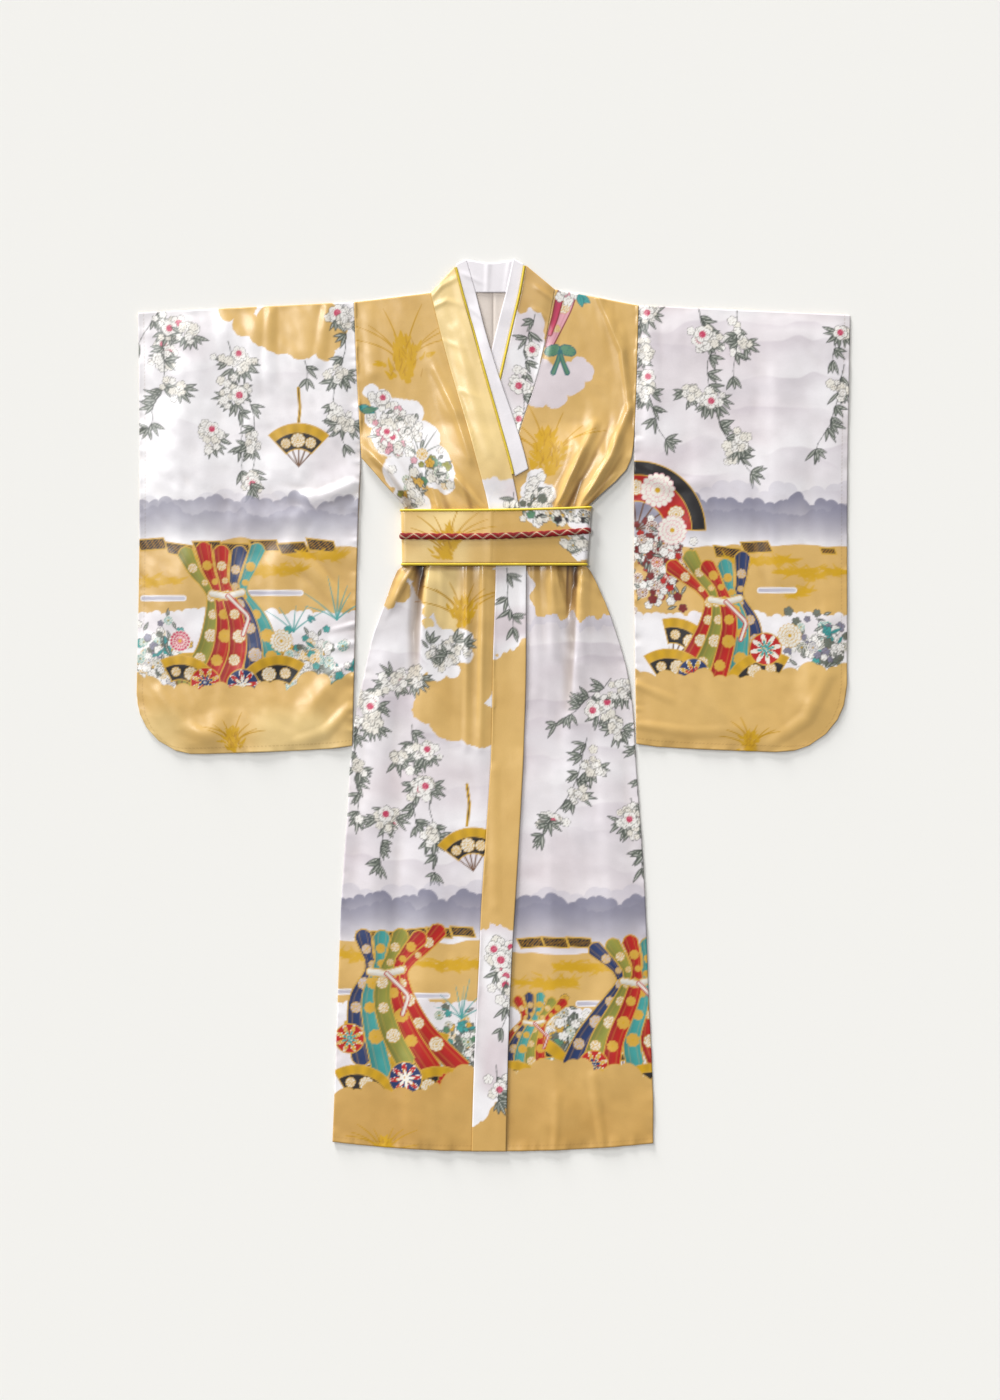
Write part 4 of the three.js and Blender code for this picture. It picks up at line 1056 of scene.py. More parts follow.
def paintLeftSleeve(grid):
    p = Print(grid, "white")
    paleGround(p, 31, 560, 280, 0.35)
    cloudField(p, [(-398, 590, 14), (-375, 598, 20), (-372, 572, 20), (-345, 560, 22), (-318, 566, 40),
                   (-288, 548, 30), (-258, 566, 40), (-300, 604, 40), (-252, 530, 14)], "gold", 1.5, 41)
    vines(p, ((-500, 596, 60, 1, -0.5), (-486, 560, 150, 2, -0.08), (-398, 545, 190, 3, 0.0),
              (-376, 520, 190, 4, 0.1), (-225, 600, 210, 5, 0.0), (-283, 516, 24, 105, 0.3)),
          ((-488, 570, 20, 2), (-456, 560, 16, 0), (-478, 478, 17, 0), (-384, 516, 22, 1),
           (-386, 466, 21, 2), (-426, 402, 21, 1), (-362, 392, 12, 0), (-224, 574, 13, 0),
           (-232, 500, 15, 0), (-222, 424, 15, 0)), 300)
    lowerPrint(p, 51, 300, 244, 132, 0.75)
    paperCards(p, -512, 236, 7, 141)
    fan(p, -292, 356, 66, 1.57, opening=1.5)
    ribbon(p, [(-292, 424), (-290, 446), (-293, 476)], 4, "black", "ochre")
    several(p, groundStrokes, (-400, 218, 90, 9, 1), (-262, 222, 80, 8, 21), (-340, 200, 110, 11, 2),
            (-500, 184, 60, 9, 3))
    several(p, mistBar, (-495, 160, 70), (-330, 168, 90))
    several(p, bush, (-500, 70, 70, 110, 7),
            (-270, 50, 100, 110, 8, ("teal", "ochrePale", "petal", "leaf", "teal")))
    blades(p, -235, 128, 62, 9)
    blades(p, -300, 110, 50, 109, count=5)
    several(p, fan, (-330, 30, 62, 2.2, "redDark", "ochrePale"), (-455, 12, 66, 0.9))
    ribbonBundle(p, -396, 128, 205, 61, 0.06)
    several(p, fan, (-322, 8, 66, 1.9), (-470, 12, 62, 1.1))
    several(p, ball, (-376, 30, 24, 0.9, ("navy", "red", "cream")),
            (-432, 34, 22, 0.4, ("red", "ochrePale", "navy")))
    several(p, manyPetals, (-318, 96, 17, 0.2, "cream", "ochrePale"), (-470, 96, 16, 0.7, "pink", "cream"))
    lowerClouds(p, 51, 26, 26, 20)
    # Painted sheen: patches of the gold highlight colour on the lower part of the sleeve
    paintedSheen = ease(10, -30, p.y) * unit(0.55 + 0.9 * noise(p.x, p.y, 55, 77))
    p.everywhere(paintedSheen * 0.75, "goldHighlight")
    sheaf(p, -391, -66, 46, 12)
    return p.colour


def paintRightSleeve(grid):
    p = Print(grid, "white")
    paleGround(p, 32, 570, 280, 0.9)
    vines(p, ((306, 600, 150, 6, 0.1), (330, 450, 110, 116, 0.55), (364, 600, 100, 7, 0.12),
              (228, 604, 210, 8, 0.02), (520, 560, 40, 9, -0.3), (526, 510, 130, 119, -0.1)),
          ((314, 548, 18, 2), (326, 462, 22, 1), (296, 470, 13, 0), (366, 396, 13, 0), (374, 545, 9, 0),
           (230, 588, 12, 2), (232, 530, 14, 0), (228, 470, 13, 0), (516, 476, 13, 0), (522, 560, 9, 1)),
           330)
    lowerPrint(p, 61, 300, 242, 128)
    several(p, paperCards, (352, 232, 2, 142), (502, 226, 1, 143, 24))
    several(p, groundStrokes, (400, 214, 100, 9, 4), (480, 196, 100, 11, 5), (450, 168, 50, 8, 25))
    mistBar(p, 425, 172, 60)
    fan(p, 214, 262, 104, 0.95, "red", "black")
    bush(p, 250, 210, 90, 120, 16, ("redDark", "red", "redDark", "petal"))
    several(p, manyPetals, (246, 322, 26, 0.1, "cream", "pinkPale"),
            (268, 262, 22, 0.3, "cream", "pinkPale"))
    bush(p, 490, 92, 80, 80, 17, ("petal", "leaf", "mist", "petal", "teal"))
    fan(p, 268, 66, 64, 0.8, opening=2.0)
    fan(p, 392, 22, 68, 2.1, opening=2.0)
    ribbonBundle(p, 338, 120, 200, 62, -0.05)
    several(p, fan, (262, 18, 66, 1.2), (410, 14, 66, 2.0))
    several(p, ball, (300, 46, 24, 0.4, ("navy", "ochrePale", "red")),
            (408, 84, 24, 0.2, ("red", "cream", "teal")))
    several(p, manyPetals, (330, 20, 18, 0.5, "red", "ochrePale"),
            (444, 104, 18, 0.5, "cream", "ochrePale"))
    lowerClouds(p, 61, 34, 26, 20)
    sheaf(p, 385, -70, 44, 22)
    return p.colour


print("sleeves")
cloth("sleeve_back_left", sleeveBack, paintGold, satinInside)
cloth("sleeve_front_left", leftSleeve, paintLeftSleeve, satin)
cloth("sleeve_back_right", sleeveBack, paintGold, satinInside)
cloth("sleeve_front_right", rightSleeve, paintRightSleeve, satin)


# Fronts

# Shade lines: lines of stations too, for painted shade in the recesses, with the share that the print is
# darkened by in place of a height
rightFront = {
    "step": 1.9, "seed": 31, "ripple": 0.6, "smoothing": 8,
    "puckers": (("bottom", 15, 1.2, 20), ("right", 18, 0.5, 14)),
    "stitches": (("bottom", 8),),
    # painted shade beside the folds under the belt, under the belt's edge and between the bodice folds
    "shadeLines": ([(122, 213, 0.85, 13, 8), (124, 190, 0.8, 14, 5), (122, 160, 0.55, 14, 4),
                 (120, 110, 0.36, 16, 5), (114, 0, 0.2, 18, 5)],
                [(111, 210, 0.8, 2.5, 5), (110, 176, 0.7, 2.5, 6), (110, 146, 0.3, 2.5, 8)],
                [(-4, 206, 0.4, 7, 9), (126, 206, 0.4, 7, 9)],
                [(110, 297, 0.7, 7, 7), (124, 322, 0.55, 5, 6), (146, 362, 0.35, 4, 6),
                 (176, 424, 0.15, 4, 6)],
                [(142, 298, 0.5, 5, 5), (168, 334, 0.3, 4, 4), (190, 370, 0.15, 4, 4)],
                [(86, 297, 0.4, 6, 6), (96, 330, 0.25, 5, 6), (120, 390, 0.12, 5, 6)],
                [(64, 208, 0.25, 8, 8), (64, 180, 0.1, 8, 8)]),
    "creases": (
        ([(113, 214, -7.0, 17, 17), (116, 178, -6.0, 13, 12), (113, 140, -1.5, 7, 7)], 1.0),
        ([(134, 214, 3.0, 3, 14), (131, 195, 3.4, 3, 16), (129, 160, 2.6, 3.5, 18), (126, 90, 1.6, 6, 20),
          (118, -22, 0.8, 12, 20)], 1.0),
        ([(93, 214, 3.0, 26, 3), (98, 180, 2.6, 26, 3.5), (106, 150, 1.2, 26, 5)], 1.0),
        ([(60, 212, 1.6, 7, 9), (62, 140, 1.2, 9, 12), (66, 20, 0.6, 12, 14)], 1.0),
        ([(86, 211, 1.8, 7, 8), (88, 150, 1.0, 9, 10), (90, 80, 0.4, 10, 12)], 1.0),
        ([(201, 440, 1.8, 9, 11), (172, 368, 3.4, 7, 11), (130, 298, 3.2, 6, 9)], 1.2),
        ([(150, 418, 1.4, 9, 12), (120, 352, 3.2, 7, 9), (99, 306, 3.0, 6, 7)], 1.2),
        ([(176, 340, 1.2, 5, 6), (140, 302, 1.8, 5, 5)], 1.2),
        ([(128, 330, -2.5, 7, 7), (118, 296, -3.0, 7, 7)], 1.0),
        ([(158, 610, 1.6, 6, 9), (192, 530, 2.4, 6, 10), (204, 440, 1.2, 7, 9)], 1.2),
        ([(90, 560, 0.9, 10, 12), (84, 520, 0.9, 10, 10)], 1.0),
        ([(150, -560, 1.0, 12, 10), (166, -668, 1.8, 10, 8)], 1.0),
        ([(96, -590, 0.6, 10, 10), (92, -668, 1.2, 8, 8)], 1.0),
    ),
}
leftFront = {
    "step": 1.9, "seed": 41, "ripple": 0.6, "smoothing": 8,
    "puckers": (("bottom", 15, 1.2, 20), ("left", 18, 0.5, 14)),
    "stitches": (("bottom", 8),),
    # painted shade beside the folds under the belt, under the belt's edge and between the bodice folds
    "shadeLines": ([(-110, 213, 0.95, 18, 8), (-105, 192, 0.9, 18, 5), (-109, 160, 0.62, 18, 4),
                 (-112, 110, 0.4, 22, 4), (-114, 50, 0.22, 20, 5)],
                [(-126, 206, 0.4, 7, 9), (-30, 206, 0.4, 7, 9)],
                [(-126, 297, 0.6, 9, 9), (-142, 326, 0.35, 6, 6), (-168, 366, 0.15, 5, 5)],
                [(-70, 297, 0.35, 8, 8), (-80, 326, 0.2, 6, 6)],
                [(-34, 297, 0.35, 6, 6), (-44, 330, 0.15, 6, 6)]),
    "creases": (
        ([(-107, 214, -6.0, 10, 9), (-114, 170, -6.0, 13, 8), (-118, 120, -3.0, 12, 8),
          (-118, 60, -0.8, 10, 9)], 1.0),
        ([(-98, 214, 3.4, 2.5, 34), (-104, 150, 3.6, 2.5, 36), (-108, 100, 2.4, 3.5, 34),
          (-112, 40, 0.8, 8, 30)], 1.0),
        ([(-116, 212, 3.0, 22, 3), (-130, 188, 3.2, 20, 3), (-146, 158, 2.2, 18, 3.5),
          (-158, 138, 0.6, 14, 6)], 1.0),
        ([(-40, 208, 1.8, 5, 8), (-40, 100, 1.8, 6, 8), (-41, -60, 0.8, 8, 9)], 1.2),
        ([(-16, 208, 1.8, 5, 8), (-18, 90, 1.8, 6, 8), (-20, -60, 0.8, 8, 9)], 1.2),
        ([(-78, 208, 0.8, 7, 8), (-76, 130, 0.6, 9, 9)], 1.0),
        ([(-86, 498, 0.9, 9, 10), (-58, 440, 2.2, 7, 10), (-36, 372, 1.2, 7, 9)], 1.2),
        ([(-52, 336, 1.0, 8, 8), (-20, 298, 2.0, 7, 7)], 1.2),
        ([(-194, 388, 1.0, 8, 10), (-160, 352, 3.0, 7, 9), (-130, 302, 2.6, 6, 7)], 1.2),
        ([(-100, 350, 0.8, 9, 9), (-84, 298, 1.8, 7, 7)], 1.0),
        ([(-190, 590, 0.5, 12, 14), (-180, 500, 0.9, 14, 16)], 1.0),
    ),
}


# Pale fields on the bodice, from discs (x, y, radius)
bodiceField = [(-184, 470, 12), (-168, 455, 18), (-178, 430, 16), (-150, 440, 22), (-126, 436, 22),
               (-150, 405, 34), (-112, 396, 32), (-92, 366, 26), (-82, 346, 24), (-112, 356, 30),
               (-138, 350, 28), (-128, 318, 22), (-112, 300, 18), (-72, 330, 14)]
beltField = [(64, 340, 14), (56, 318, 16), (78, 316, 16), (72, 298, 16), (50, 300, 14)]


def paintRightFront(grid):
    p = goldGround(grid, 14)
    cloudField(p, [(72, 500, 20), (88, 482, 24), (112, 490, 26), (136, 500, 16), (128, 512, 12),
                   (66, 470, 24), (92, 462, 18)], "lavender", 1.5, 71)
    ribbon(p, [(112, 624), (106, 596), (92, 562), (83, 538)], (30, 24, 18, 12), "pinkPale", "redDark",
           "cream")
    ribbon(p, [(98, 606), (92, 580), (84, 556)], (12, 10, 8), "pink", "redDark")
    for x, y in ((100, 612), (112, 606), (122, 616), (106, 622)):
        blossom(p, x, y, 8, x)
    leaf(p, 126, 614, -0.5, 22, 12, "teal")
    leaf(p, 128, 616, -1.3, 20, 10, "teal")
    bow(p, 100, 530, 27, "leafGreen", "tealDark")
    sheaf(p, 82, 352, 92, 33)
    cloudField(p, beltField, "white", 1.5, 73)
    bush(p, 66, 314, 60, 60, 34, ("petal", "leaf", "petal"), beltField)
    pale = Print(grid, "white")
    paleGround(pale, 33, 150, -300, 0.95)
    ragged = 7 * wavy(p.x, 13, 75) + 5 * wavy(p.x, 5, 77)
    skirt = p.y < 132 + ragged + 0.05 * (p.x - 120)
    strip = (p.x < 62 + 9 * wavy(p.y, 18, 76) - 0.14 * (p.y - 140)) & (p.y < 240)
    white = skirt | strip
    p.colour = np.where(white[:, None], pale.colour, p.colour)
    p.everywhere((skirt & (p.y > 118 + ragged)) * 0.35, "mistPale")
    vines(p, ((176, 40, 100, 10, -0.5), (140, -50, 160, 12, -0.22), (206, -140, 100, 13, -0.1),
              (214, -50, 120, 113, 0.0)),
          ((164, -4, 21, 2), (192, 26, 17, 0), (186, -34, 12, 0), (146, -92, 17, 0), (124, -136, 12, 0),
           (206, -172, 21, 1), (222, -66, 9, 0)), 350)
    lowerPrint(p, 81, -300, -366, -466)
    several(p, groundStrokes, (150, -396, 120, 11, 44), (80, -420, 90, 11, 45))
    mistBar(p, 168, -448, 90)
    bush(p, 105, -500, 80, 80, 46, ("petal", "leaf", "leafGreen", "ochrePale"))
    paperCards(p, 56, -352, 3, 144, 40)
    fan(p, 42, -575, 84, 1.1, opening=1.6)
    fan(p, 196, -560, 64, 2.0, opening=1.8)
    several(p, ribbonBundle, (196, -452, 200, 63, 0.05), (52, -500, 130, 64, 0.12))
    several(p, fan, (26, -596, 62, 1.3), (236, -600, 62, 1.9))
    several(p, ball, (150, -540, 22, 0.3, ("red", "ochrePale", "navy")),
            (84, -548, 20, 0.6, ("teal", "cream", "red")))
    lowerClouds(p, 81, -570, 28, 22)
    return p.colour


# Fields on the skirt, from discs (x, y, radius)
skirtGold = [(-118, 200, 16), (-110, 182, 12), (-100, 160, 9), (-99, 140, 9), (-98, 122, 9),
             (-60, 190, 60), (-20, 150, 58), (-60, 140, 30), (-150, 196, 24), (-142, 172, 18),
             (-156, 154, 10), (-22, 60, 44), (-45, 36, 46), (-80, 18, 38), (-98, -4, 24), (-62, -18, 36),
             (-22, -30, 34), (0, 100, 40)]
leafField = [(-92, 104, 14), (-70, 100, 14), (-46, 98, 16), (-92, 78, 16), (-66, 76, 20), (-44, 76, 14),
             (-84, 52, 16), (-62, 52, 12)]


def paintLeftFront(grid):
    p = goldGround(grid, 24)
    sheaf(p, -135, 492, 90, 53)
    cloudField(p, bodiceField, "white", 1.5, 91)
    bush(p, -146, 408, 80, 90, 54, ("petal", "petal", "cream", "petal", "pinkPale"), bodiceField)
    cluster(p, -166, 458, np.random.default_rng(3), 8)
    blades(p, -110, 372, 46, 58, "leaf", 6)
    for x, y in ((-166, 461), (-151, 402), (-160, 410)):
        blossom(p, x, y, 11, x, centre="pink")
    several(p, bush,
            (-88, 350, 60, 50, 55, ("leafGreen", "ochrePale", "olive", "cream", "petal"), bodiceField),
            (-118, 322, 50, 40, 59, ("olive", "ochrePale", "cream", "leafGreen", "petal"), bodiceField))
    leaf(p, -202, 448, -0.4, 26, 13, "teal")
    leaf(p, -198, 440, 0.2, 26, 10, "leafGreen")
    skirt = p.y < 240
    pale = Print(grid, "white")
    paleGround(pale, 34, 150, -280, 0.85)
    gold = cloudDistance(p.x, p.y, skirtGold, 1.8, 93)
    onGold = inside(gold) * (p.y < 205) + (p.y >= 205)
    pale.everywhere(onGold, "gold")
    pale.everywhere(onGold * goldShade(p, 25), "goldDark")
    # Painted highlight: a broad band of the gold highlight colour on the gold below the belt, left of the
    # middle
    pale.everywhere(onGold * ease(60, 110, p.y) * ease(-108, -100, p.x) * ease(-44, -60, p.x) * 0.9,
                    "goldHighlight")
    p.colour = np.where(skirt[:, None], pale.colour, p.colour)
    sheaf(p, -46, 122, 62, 56, 0.0, 0.7)
    field = cloudDistance(p.x, p.y, leafField, 1.5, 94)
    p.everywhere(inside(field), "white")
    bush(p, -68, 78, 76, 60, 57, ("petal", "cream", "petal"), leafField)
    for x, y, turn in ((-96, 92, 1.2), (-60, 96, 0.6), (-80, 60, 1.9), (-44, 92, 0.3), (-70, 74, 2.6)):
        for side in (-0.6, 0.0, 0.6):
            leaf(p, x, y, turn + side, 20, 6)
    vines(p, ((-120, 60, 70, 14, -0.9), (-196, -20, 150, 15, -0.08), (-122, -30, 150, 16, 0.1),
              (-100, -120, 130, 17, 0.15), (-160, -150, 90, 18, -0.1)),
          ((-122, 42, 17, 1), (-152, 34, 17, 0), (-186, 2, 20, 2), (-180, -26, 13, 0), (-104, -66, 19, 1),
           (-146, -78, 11, 0), (-104, -118, 21, 2), (-160, -168, 21, 1), (-204, -96, 9, 0),
           (-94, -196, 13, 0)), 370)
    lowerPrint(p, 82, -292, -352, -450)
    paperCards(p, -186, -344, 5, 145, 38)
    fan(p, -30, -250, 66, 1.75, opening=1.5)
    ribbon(p, [(-40, -182), (-36, -150), (-40, -118)], 4, "black", "ochre")
    several(p, groundStrokes, (-60, -392, 100, 12, 64), (-205, -378, 60, 10, 65))
    several(p, mistBar, (-110, -436, 90), (-212, -430, 50))
    bush(p, -52, -520, 80, 100, 66, ("teal", "ochrePale", "leafGreen", "petal", "leaf"))
    blades(p, -48, -470, 58, 67)
    fan(p, -200, -545, 74, 1.0, opening=1.8)
    fan(p, -92, -560, 70, 2.1, opening=1.8)
    ribbonBundle(p, -150, -440, 215, 65, -0.04)
    several(p, fan, (-206, -606, 66, 1.15), (-82, -612, 70, 1.9))
    several(p, ball, (-132, -560, 25, 0.9, ("navy", "red", "cream")),
            (-216, -500, 22, 0.4, ("red", "ochrePale", "teal")))
    manyPetals(p, -66, -570, 20, 0.1, "red", "ochrePale")
    lowerClouds(p, 82, -590, 28, 22)
    sheaf(p, -165, -684, 52, 68)
    return p.colour


def paintCollar(side):
    def paint(grid):
        # Painted highlight: the collar is the gold highlight colour above and gold below. Painted shade: the
        # right collar darker towards the neck, and both darker towards the hem, over the uneven tone of the
        # gold
        p = Print(grid, "goldHighlight")
        wave = 6 * noise(p.x, p.y, 14, 95) + 3 * noise(p.x, p.y, 5, 96)
        low = ease(330, 120, p.y)
        p.everywhere(low, "gold")
        toneAndShade = goldShade(p, 27) + 0.6 * (side > 0) * ease(420, 560, p.y)
        p.everywhere(toneAndShade + ease(-400, -640, p.y) * 0.4, "goldDark")
        top, bottom = (338, 84) if side < 0 else (590, 60)
        slope = (p.x - 20) * 0.7 if side < 0 else (p.x - 60) * 0.2
        field = np.minimum(top - p.y + wave, p.y - bottom - slope + wave * 1.6)
        if side > 0:
            field = np.minimum(field, 74 + wave - p.x + np.clip(480 - p.y, 0, 60))
        pale = unit(0.5 + field / 2)
        p.everywhere(pale, "white")
        p.everywhere(pale * unit(0.4 + noise(p.x, p.y, 40, 97)), "lavender")
        if side < 0:
            second = np.minimum(-334 - p.y + wave * 1.4, p.y + 604 + wave - p.x * 0.9)
            pale = unit(0.5 + second / 2)
            p.everywhere(pale, "white")
            p.everywhere(pale * unit(0.4 + noise(p.x, p.y, 40, 98)), "lavender")
            several(p, hangingBranch, (30, 318, 40, 18, 0.1, 0.6), (20, 205, 90, 118, 0.15, 0.7),
                    (12, -352, 130, 19, 0.0, 2.2))
            blossom(p, 11, -382, 14, 0.3, centre="pink")
            hangingBranch(p, 4, -540, 50, 119, 0.2, 0.4)
        else:
            hangingBranch(p, 62, 585, 90, 20, -0.15, 0.3)
            blossom(p, 58, 533, 12, 0.4, centre="pink")
            several(p, hangingBranch, (48, 490, 110, 120, -0.3, 0.4), (34, 360, 90, 23, 0.1, 0.6),
                    (56, 200, 80, 123, 0.1, 0.8))
        return p.colour
    return paint


leftCollar = {
    "step": 1.6, "seed": 51, "ripple": 0.35, "smoothing": 6,
    "creases": (
        ([(-98, 606, 0.4, 6, 6), (-78, 628, 1.4, 5, 7), (-56, 640, 0.5, 6, 6)], 1.2),
        ([(-92, 596, 1.0, 5, 6), (-70, 606, 1.1, 5, 6), (-50, 600, 0.3, 6, 6)], 1.2),
        ([(-60, 560, 0.7, 14, 14), (-32, 460, 1.0, 13, 13), (-8, 380, 0.6, 12, 12)], 1.0),
        ([(-72, 545, 0.7, 5, 5), (-50, 536, 0.3, 5, 5)], 1.2),
        ([(-46, 470, 0.6, 5, 5), (-26, 462, 0.3, 5, 5)], 1.2),
        ([(0, -100, 0.7, 12, 12), (2, -300, 0.5, 12, 12)], 1.0),
    ),
}
rightCollar = {
    "step": 1.6, "seed": 55, "ripple": 0.35, "smoothing": 6,
    "creases": (
        ([(70, 622, 1.0, 6, 6), (92, 606, 0.7, 6, 6)], 1.2),
        ([(66, 590, 0.8, 6, 7), (84, 578, 0.4, 6, 6)], 1.2),
    ),
}
innerDesign = {
    "step": 1.6, "seed": 52, "ripple": 0.3, "smoothing": 4,
    "creases": (
        ([(-40, 644, 0.8, 5, 5), (-24, 636, 0.5, 5, 5)], 1.2),
        ([(-8, 664, 0.9, 6, 6), (-10, 622, 0.6, 6, 6)], 1.2),
        ([(24, 660, 0.8, 6, 6), (18, 624, 0.4, 6, 6)], 1.2),
        ([(-28, 590, 0.7, 6, 6), (-12, 575, 0.3, 5, 5)], 1.2),
        ([(12, 480, 0.6, 6, 6), (30, 440, 0.7, 6, 6)], 1.2),
    ),
}


def paintPlain(grid):
    return Print(grid, "white").colour


def innerCollar(side, corners=panelCorners):
    cloth("inner_collar_" + side, innerDesign, paintPlain, whiteSatin,
          corners)


print("fronts and collars")
cloth("collar_back", innerDesign, paintCollar(1), satin)
innerCollar("back")
cloth("front_right", rightFront, paintRightFront, satin)
innerCollar("right", stripCorners["inner_right"])
cloth("collar_right", rightCollar, paintCollar(1), satin,
      stripCorners["right"])
cloth("front_left", leftFront, paintLeftFront, satin)
innerCollar("left", stripCorners["inner_left"])
cloth("collar_left", leftCollar, paintCollar(-1), satin,
      stripCorners["left"])


# The belt: a flattened ring round the waist, with a corded edging and a flat braid

belt = {"rows": 44, "step": 2.0, "turn": 7.0, "thick": 1.7, "edging": 1.9, "edgingGap": 1.9, "seed": 61,
        "ripple": 0.3, "crease": [(-2, 290, 0.5, 14, 2), (-4, 212, 0.5, 14, 2)]}
# The corded edging beside the collar
cord = {"wide": 3.4, "high": 3.2, "lift": 0.2, "sides": 8}


# The outside of the belt's ring at each height: over the top from left to right, then back beneath
def beltRing():
    points, triangles = cadMesh("obi")
    tree = BVHTree.FromPolygons(points.tolist(), triangles.tolist())
    low, high = points[:, 1].min() + 0.2, points[:, 1].max() - 0.2
    lift = points[:, 1].max() - sliceSpan("obi", 0, points[:, 0].min() + 20)[1][0]
    rings = []

    def hit(x, y, z, dx, dz):
        return tree.ray_cast((x, y, z), (dx, 0, dz))[0]

    for v in np.linspace(0, 1, belt["rows"]):
        base = low + (high - lift - low) * v
        level = base + 0.3 * (1 - v)
        ends = [hit(-300, level, 5, 1, 0)[0], hit(300, level, 5, -1, 0)[0]]
        turn = belt["turn"]
        count = math.ceil(270 / belt["step"])
        loop = []
        for side, sign in ((1, 1), (-1, -1)):
            xs = np.linspace(ends[0] + turn, ends[1] - turn, count)[::sign]
            for x in xs:
                y = base + lift * v * ((x - ends[0]) / (ends[1] - ends[0])) ** 3
                p = hit(x, y, 60 * side, 0, -side)
                loop.append((x, y, p[2] if p else 60))
            cx = xs[-1]
            top, bottom = hit(cx, level, 60, 0, -1), hit(cx, level, -60, 0, 1)
            cz = (top[2] + bottom[2]) / 2
            for angle in np.linspace(90, -90, 11)[1:-1] * math.pi / 180:
                dx, dz = math.cos(angle) * sign, math.sin(angle) * side
                y = base + (lift * v if sign > 0 else 0)
                p = hit(cx + dx * 60, y, cz + dz * 60, -dx, -dz)
                loop.append((p[0], y, p[2]) if p else (cx + dx * turn, y, cz + dz * turn))
        rings.append(loop)
    return np.array(rings, float)


# Lowest and highest corner of the cut through a node where one coordinate has a value
def sliceSpan(node, axis, value):
    points, triangles = cadMesh(node)
    a = points[triangles].reshape(-1, 3)
    b = points[np.roll(triangles, -1, 1)].reshape(-1, 3)
    run = b[:, axis] - a[:, axis]
    t = np.where(run == 0, -1, (value - a[:, axis]) / np.where(run == 0, 1, run))
    cut = (a + (b - a) * t[:, None])[(t >= 0) & (t <= 1)]
    cut = cut[:, [k for k in range(3) if k != axis]]
    return cut.min(0), cut.max(0)


# A cord or braid with an oval section, swept along a line of points
def sweep(name, line, side, up, wide, high, sides, closed, paint, material, trim=None):
    length = np.concatenate([[0], np.cumsum(np.linalg.norm(np.diff(line, axis=0), axis=1))])
    angle = np.arange(sides) / sides * 2 * math.pi
    across, above = np.cos(angle), np.sin(angle)
    width = np.full(len(line), wide / 2) if trim is None else wide / 2 * trim(length)
    points = (line[:, None] + side[:, None] * (across[None] * width[:, None])[..., None]
              + up[:, None] * (above * high / 2)[None, :, None])
    colours = paint(np.repeat(length, sides), np.tile(across, len(line)), np.tile(above, len(line)))
    rows = len(line)
    faces = quads(rows, sides, closed=True)
    if closed:
        last = (rows - 1) * sides + np.arange(sides)
        first = np.arange(sides)
        faces = np.vstack([faces, np.stack([last, np.roll(last, -1), np.roll(first, -1), first], axis=1)])
    thing = makeMesh(name, points.reshape(-1, 3), faces, colours)
    thing.data.materials.append(material)
    return thing


# Across and up at each point of a line, as near as can be to a sideways direction
def directions(line, closed, sideways):
    ahead = np.roll(line, -1, 0) - np.roll(line, 1, 0)
    if not closed:
        ahead[0], ahead[-1] = line[1] - line[0], line[-1] - line[-2]
    ahead /= np.linalg.norm(ahead, axis=1)[:, None]
    up = np.cross(ahead, sideways)
    up /= np.linalg.norm(up, axis=1)[:, None]
    return np.cross(up, ahead), up


def paintBelt(grid):
    p = Print(grid, "beltGold")
    # Painted highlight: left of its fold the belt is lighter, in gold with patches of the gold highlight
    # colour, and right of it keeps the darker belt gold, as light falls on it
    p.everywhere(ease(6, -8, p.x), "gold")
    p.everywhere(unit(goldShade(p, 71) * 3.5 * ease(0, -60, p.x)), "goldHighlight")
    sheaf(p, -68, 224, 66, 72)
    cloudField(p, [(60, 285, 12), (80, 290, 14), (105, 288, 16), (125, 280, 16), (140, 262, 18),
                   (132, 232, 16)],
               "white", 1.5, 98)
    several(p, bush, (95, 282, 80, 26, 73, ("petal", "leafGreen", "cream", "black", "ochrePale")),
            (122, 240, 40, 30, 74, ("petal", "cream", "leaf")))
    return p.colour


def makeBelt():
    ring = beltRing()
    rows, columns = ring.shape[:2]
    x, y = ring[..., 0], ring[..., 1]
    front = ring[..., 2] > 6
    ring[..., 2] += front * (ripple(x, y, belt) + creaseHeight(x, y, belt["crease"]))
    middle = ring.mean(1, keepdims=True)
    middle[..., 2] = 5
    inward = np.sign(middle - ring) * np.array([0.0, 0.0, 1.0])
    colours = paintBelt(ring[..., :2])
    shells = []
    for row, pull in ((0, -0.2), (rows - 1, 0.2)):
        for depth in (0.5, belt["thick"]):
            turned = ring[row] + inward[row] * depth
            turned[:, 1] -= pull
            turned[:, 2] = np.maximum(turned[:, 2], 0.05)
            shells.append(turned)
    points = np.vstack([shells[1], shells[0], ring.reshape(-1, 3), shells[2], shells[3]])
    colour = np.vstack([colours[:columns]] * 2 + [colours] + [colours[-columns:]] * 2)
    faces = quads(rows + 4, columns, closed=True)
    thing = makeMesh("obi_band", points, faces[:, ::-1], colour)
    thing.data.materials.append(satin)
    finishPiece(thing, "obi")
    return ring


def paintPiping(length, across, above):
    return np.tile(linear("gold"), (len(length), 1))


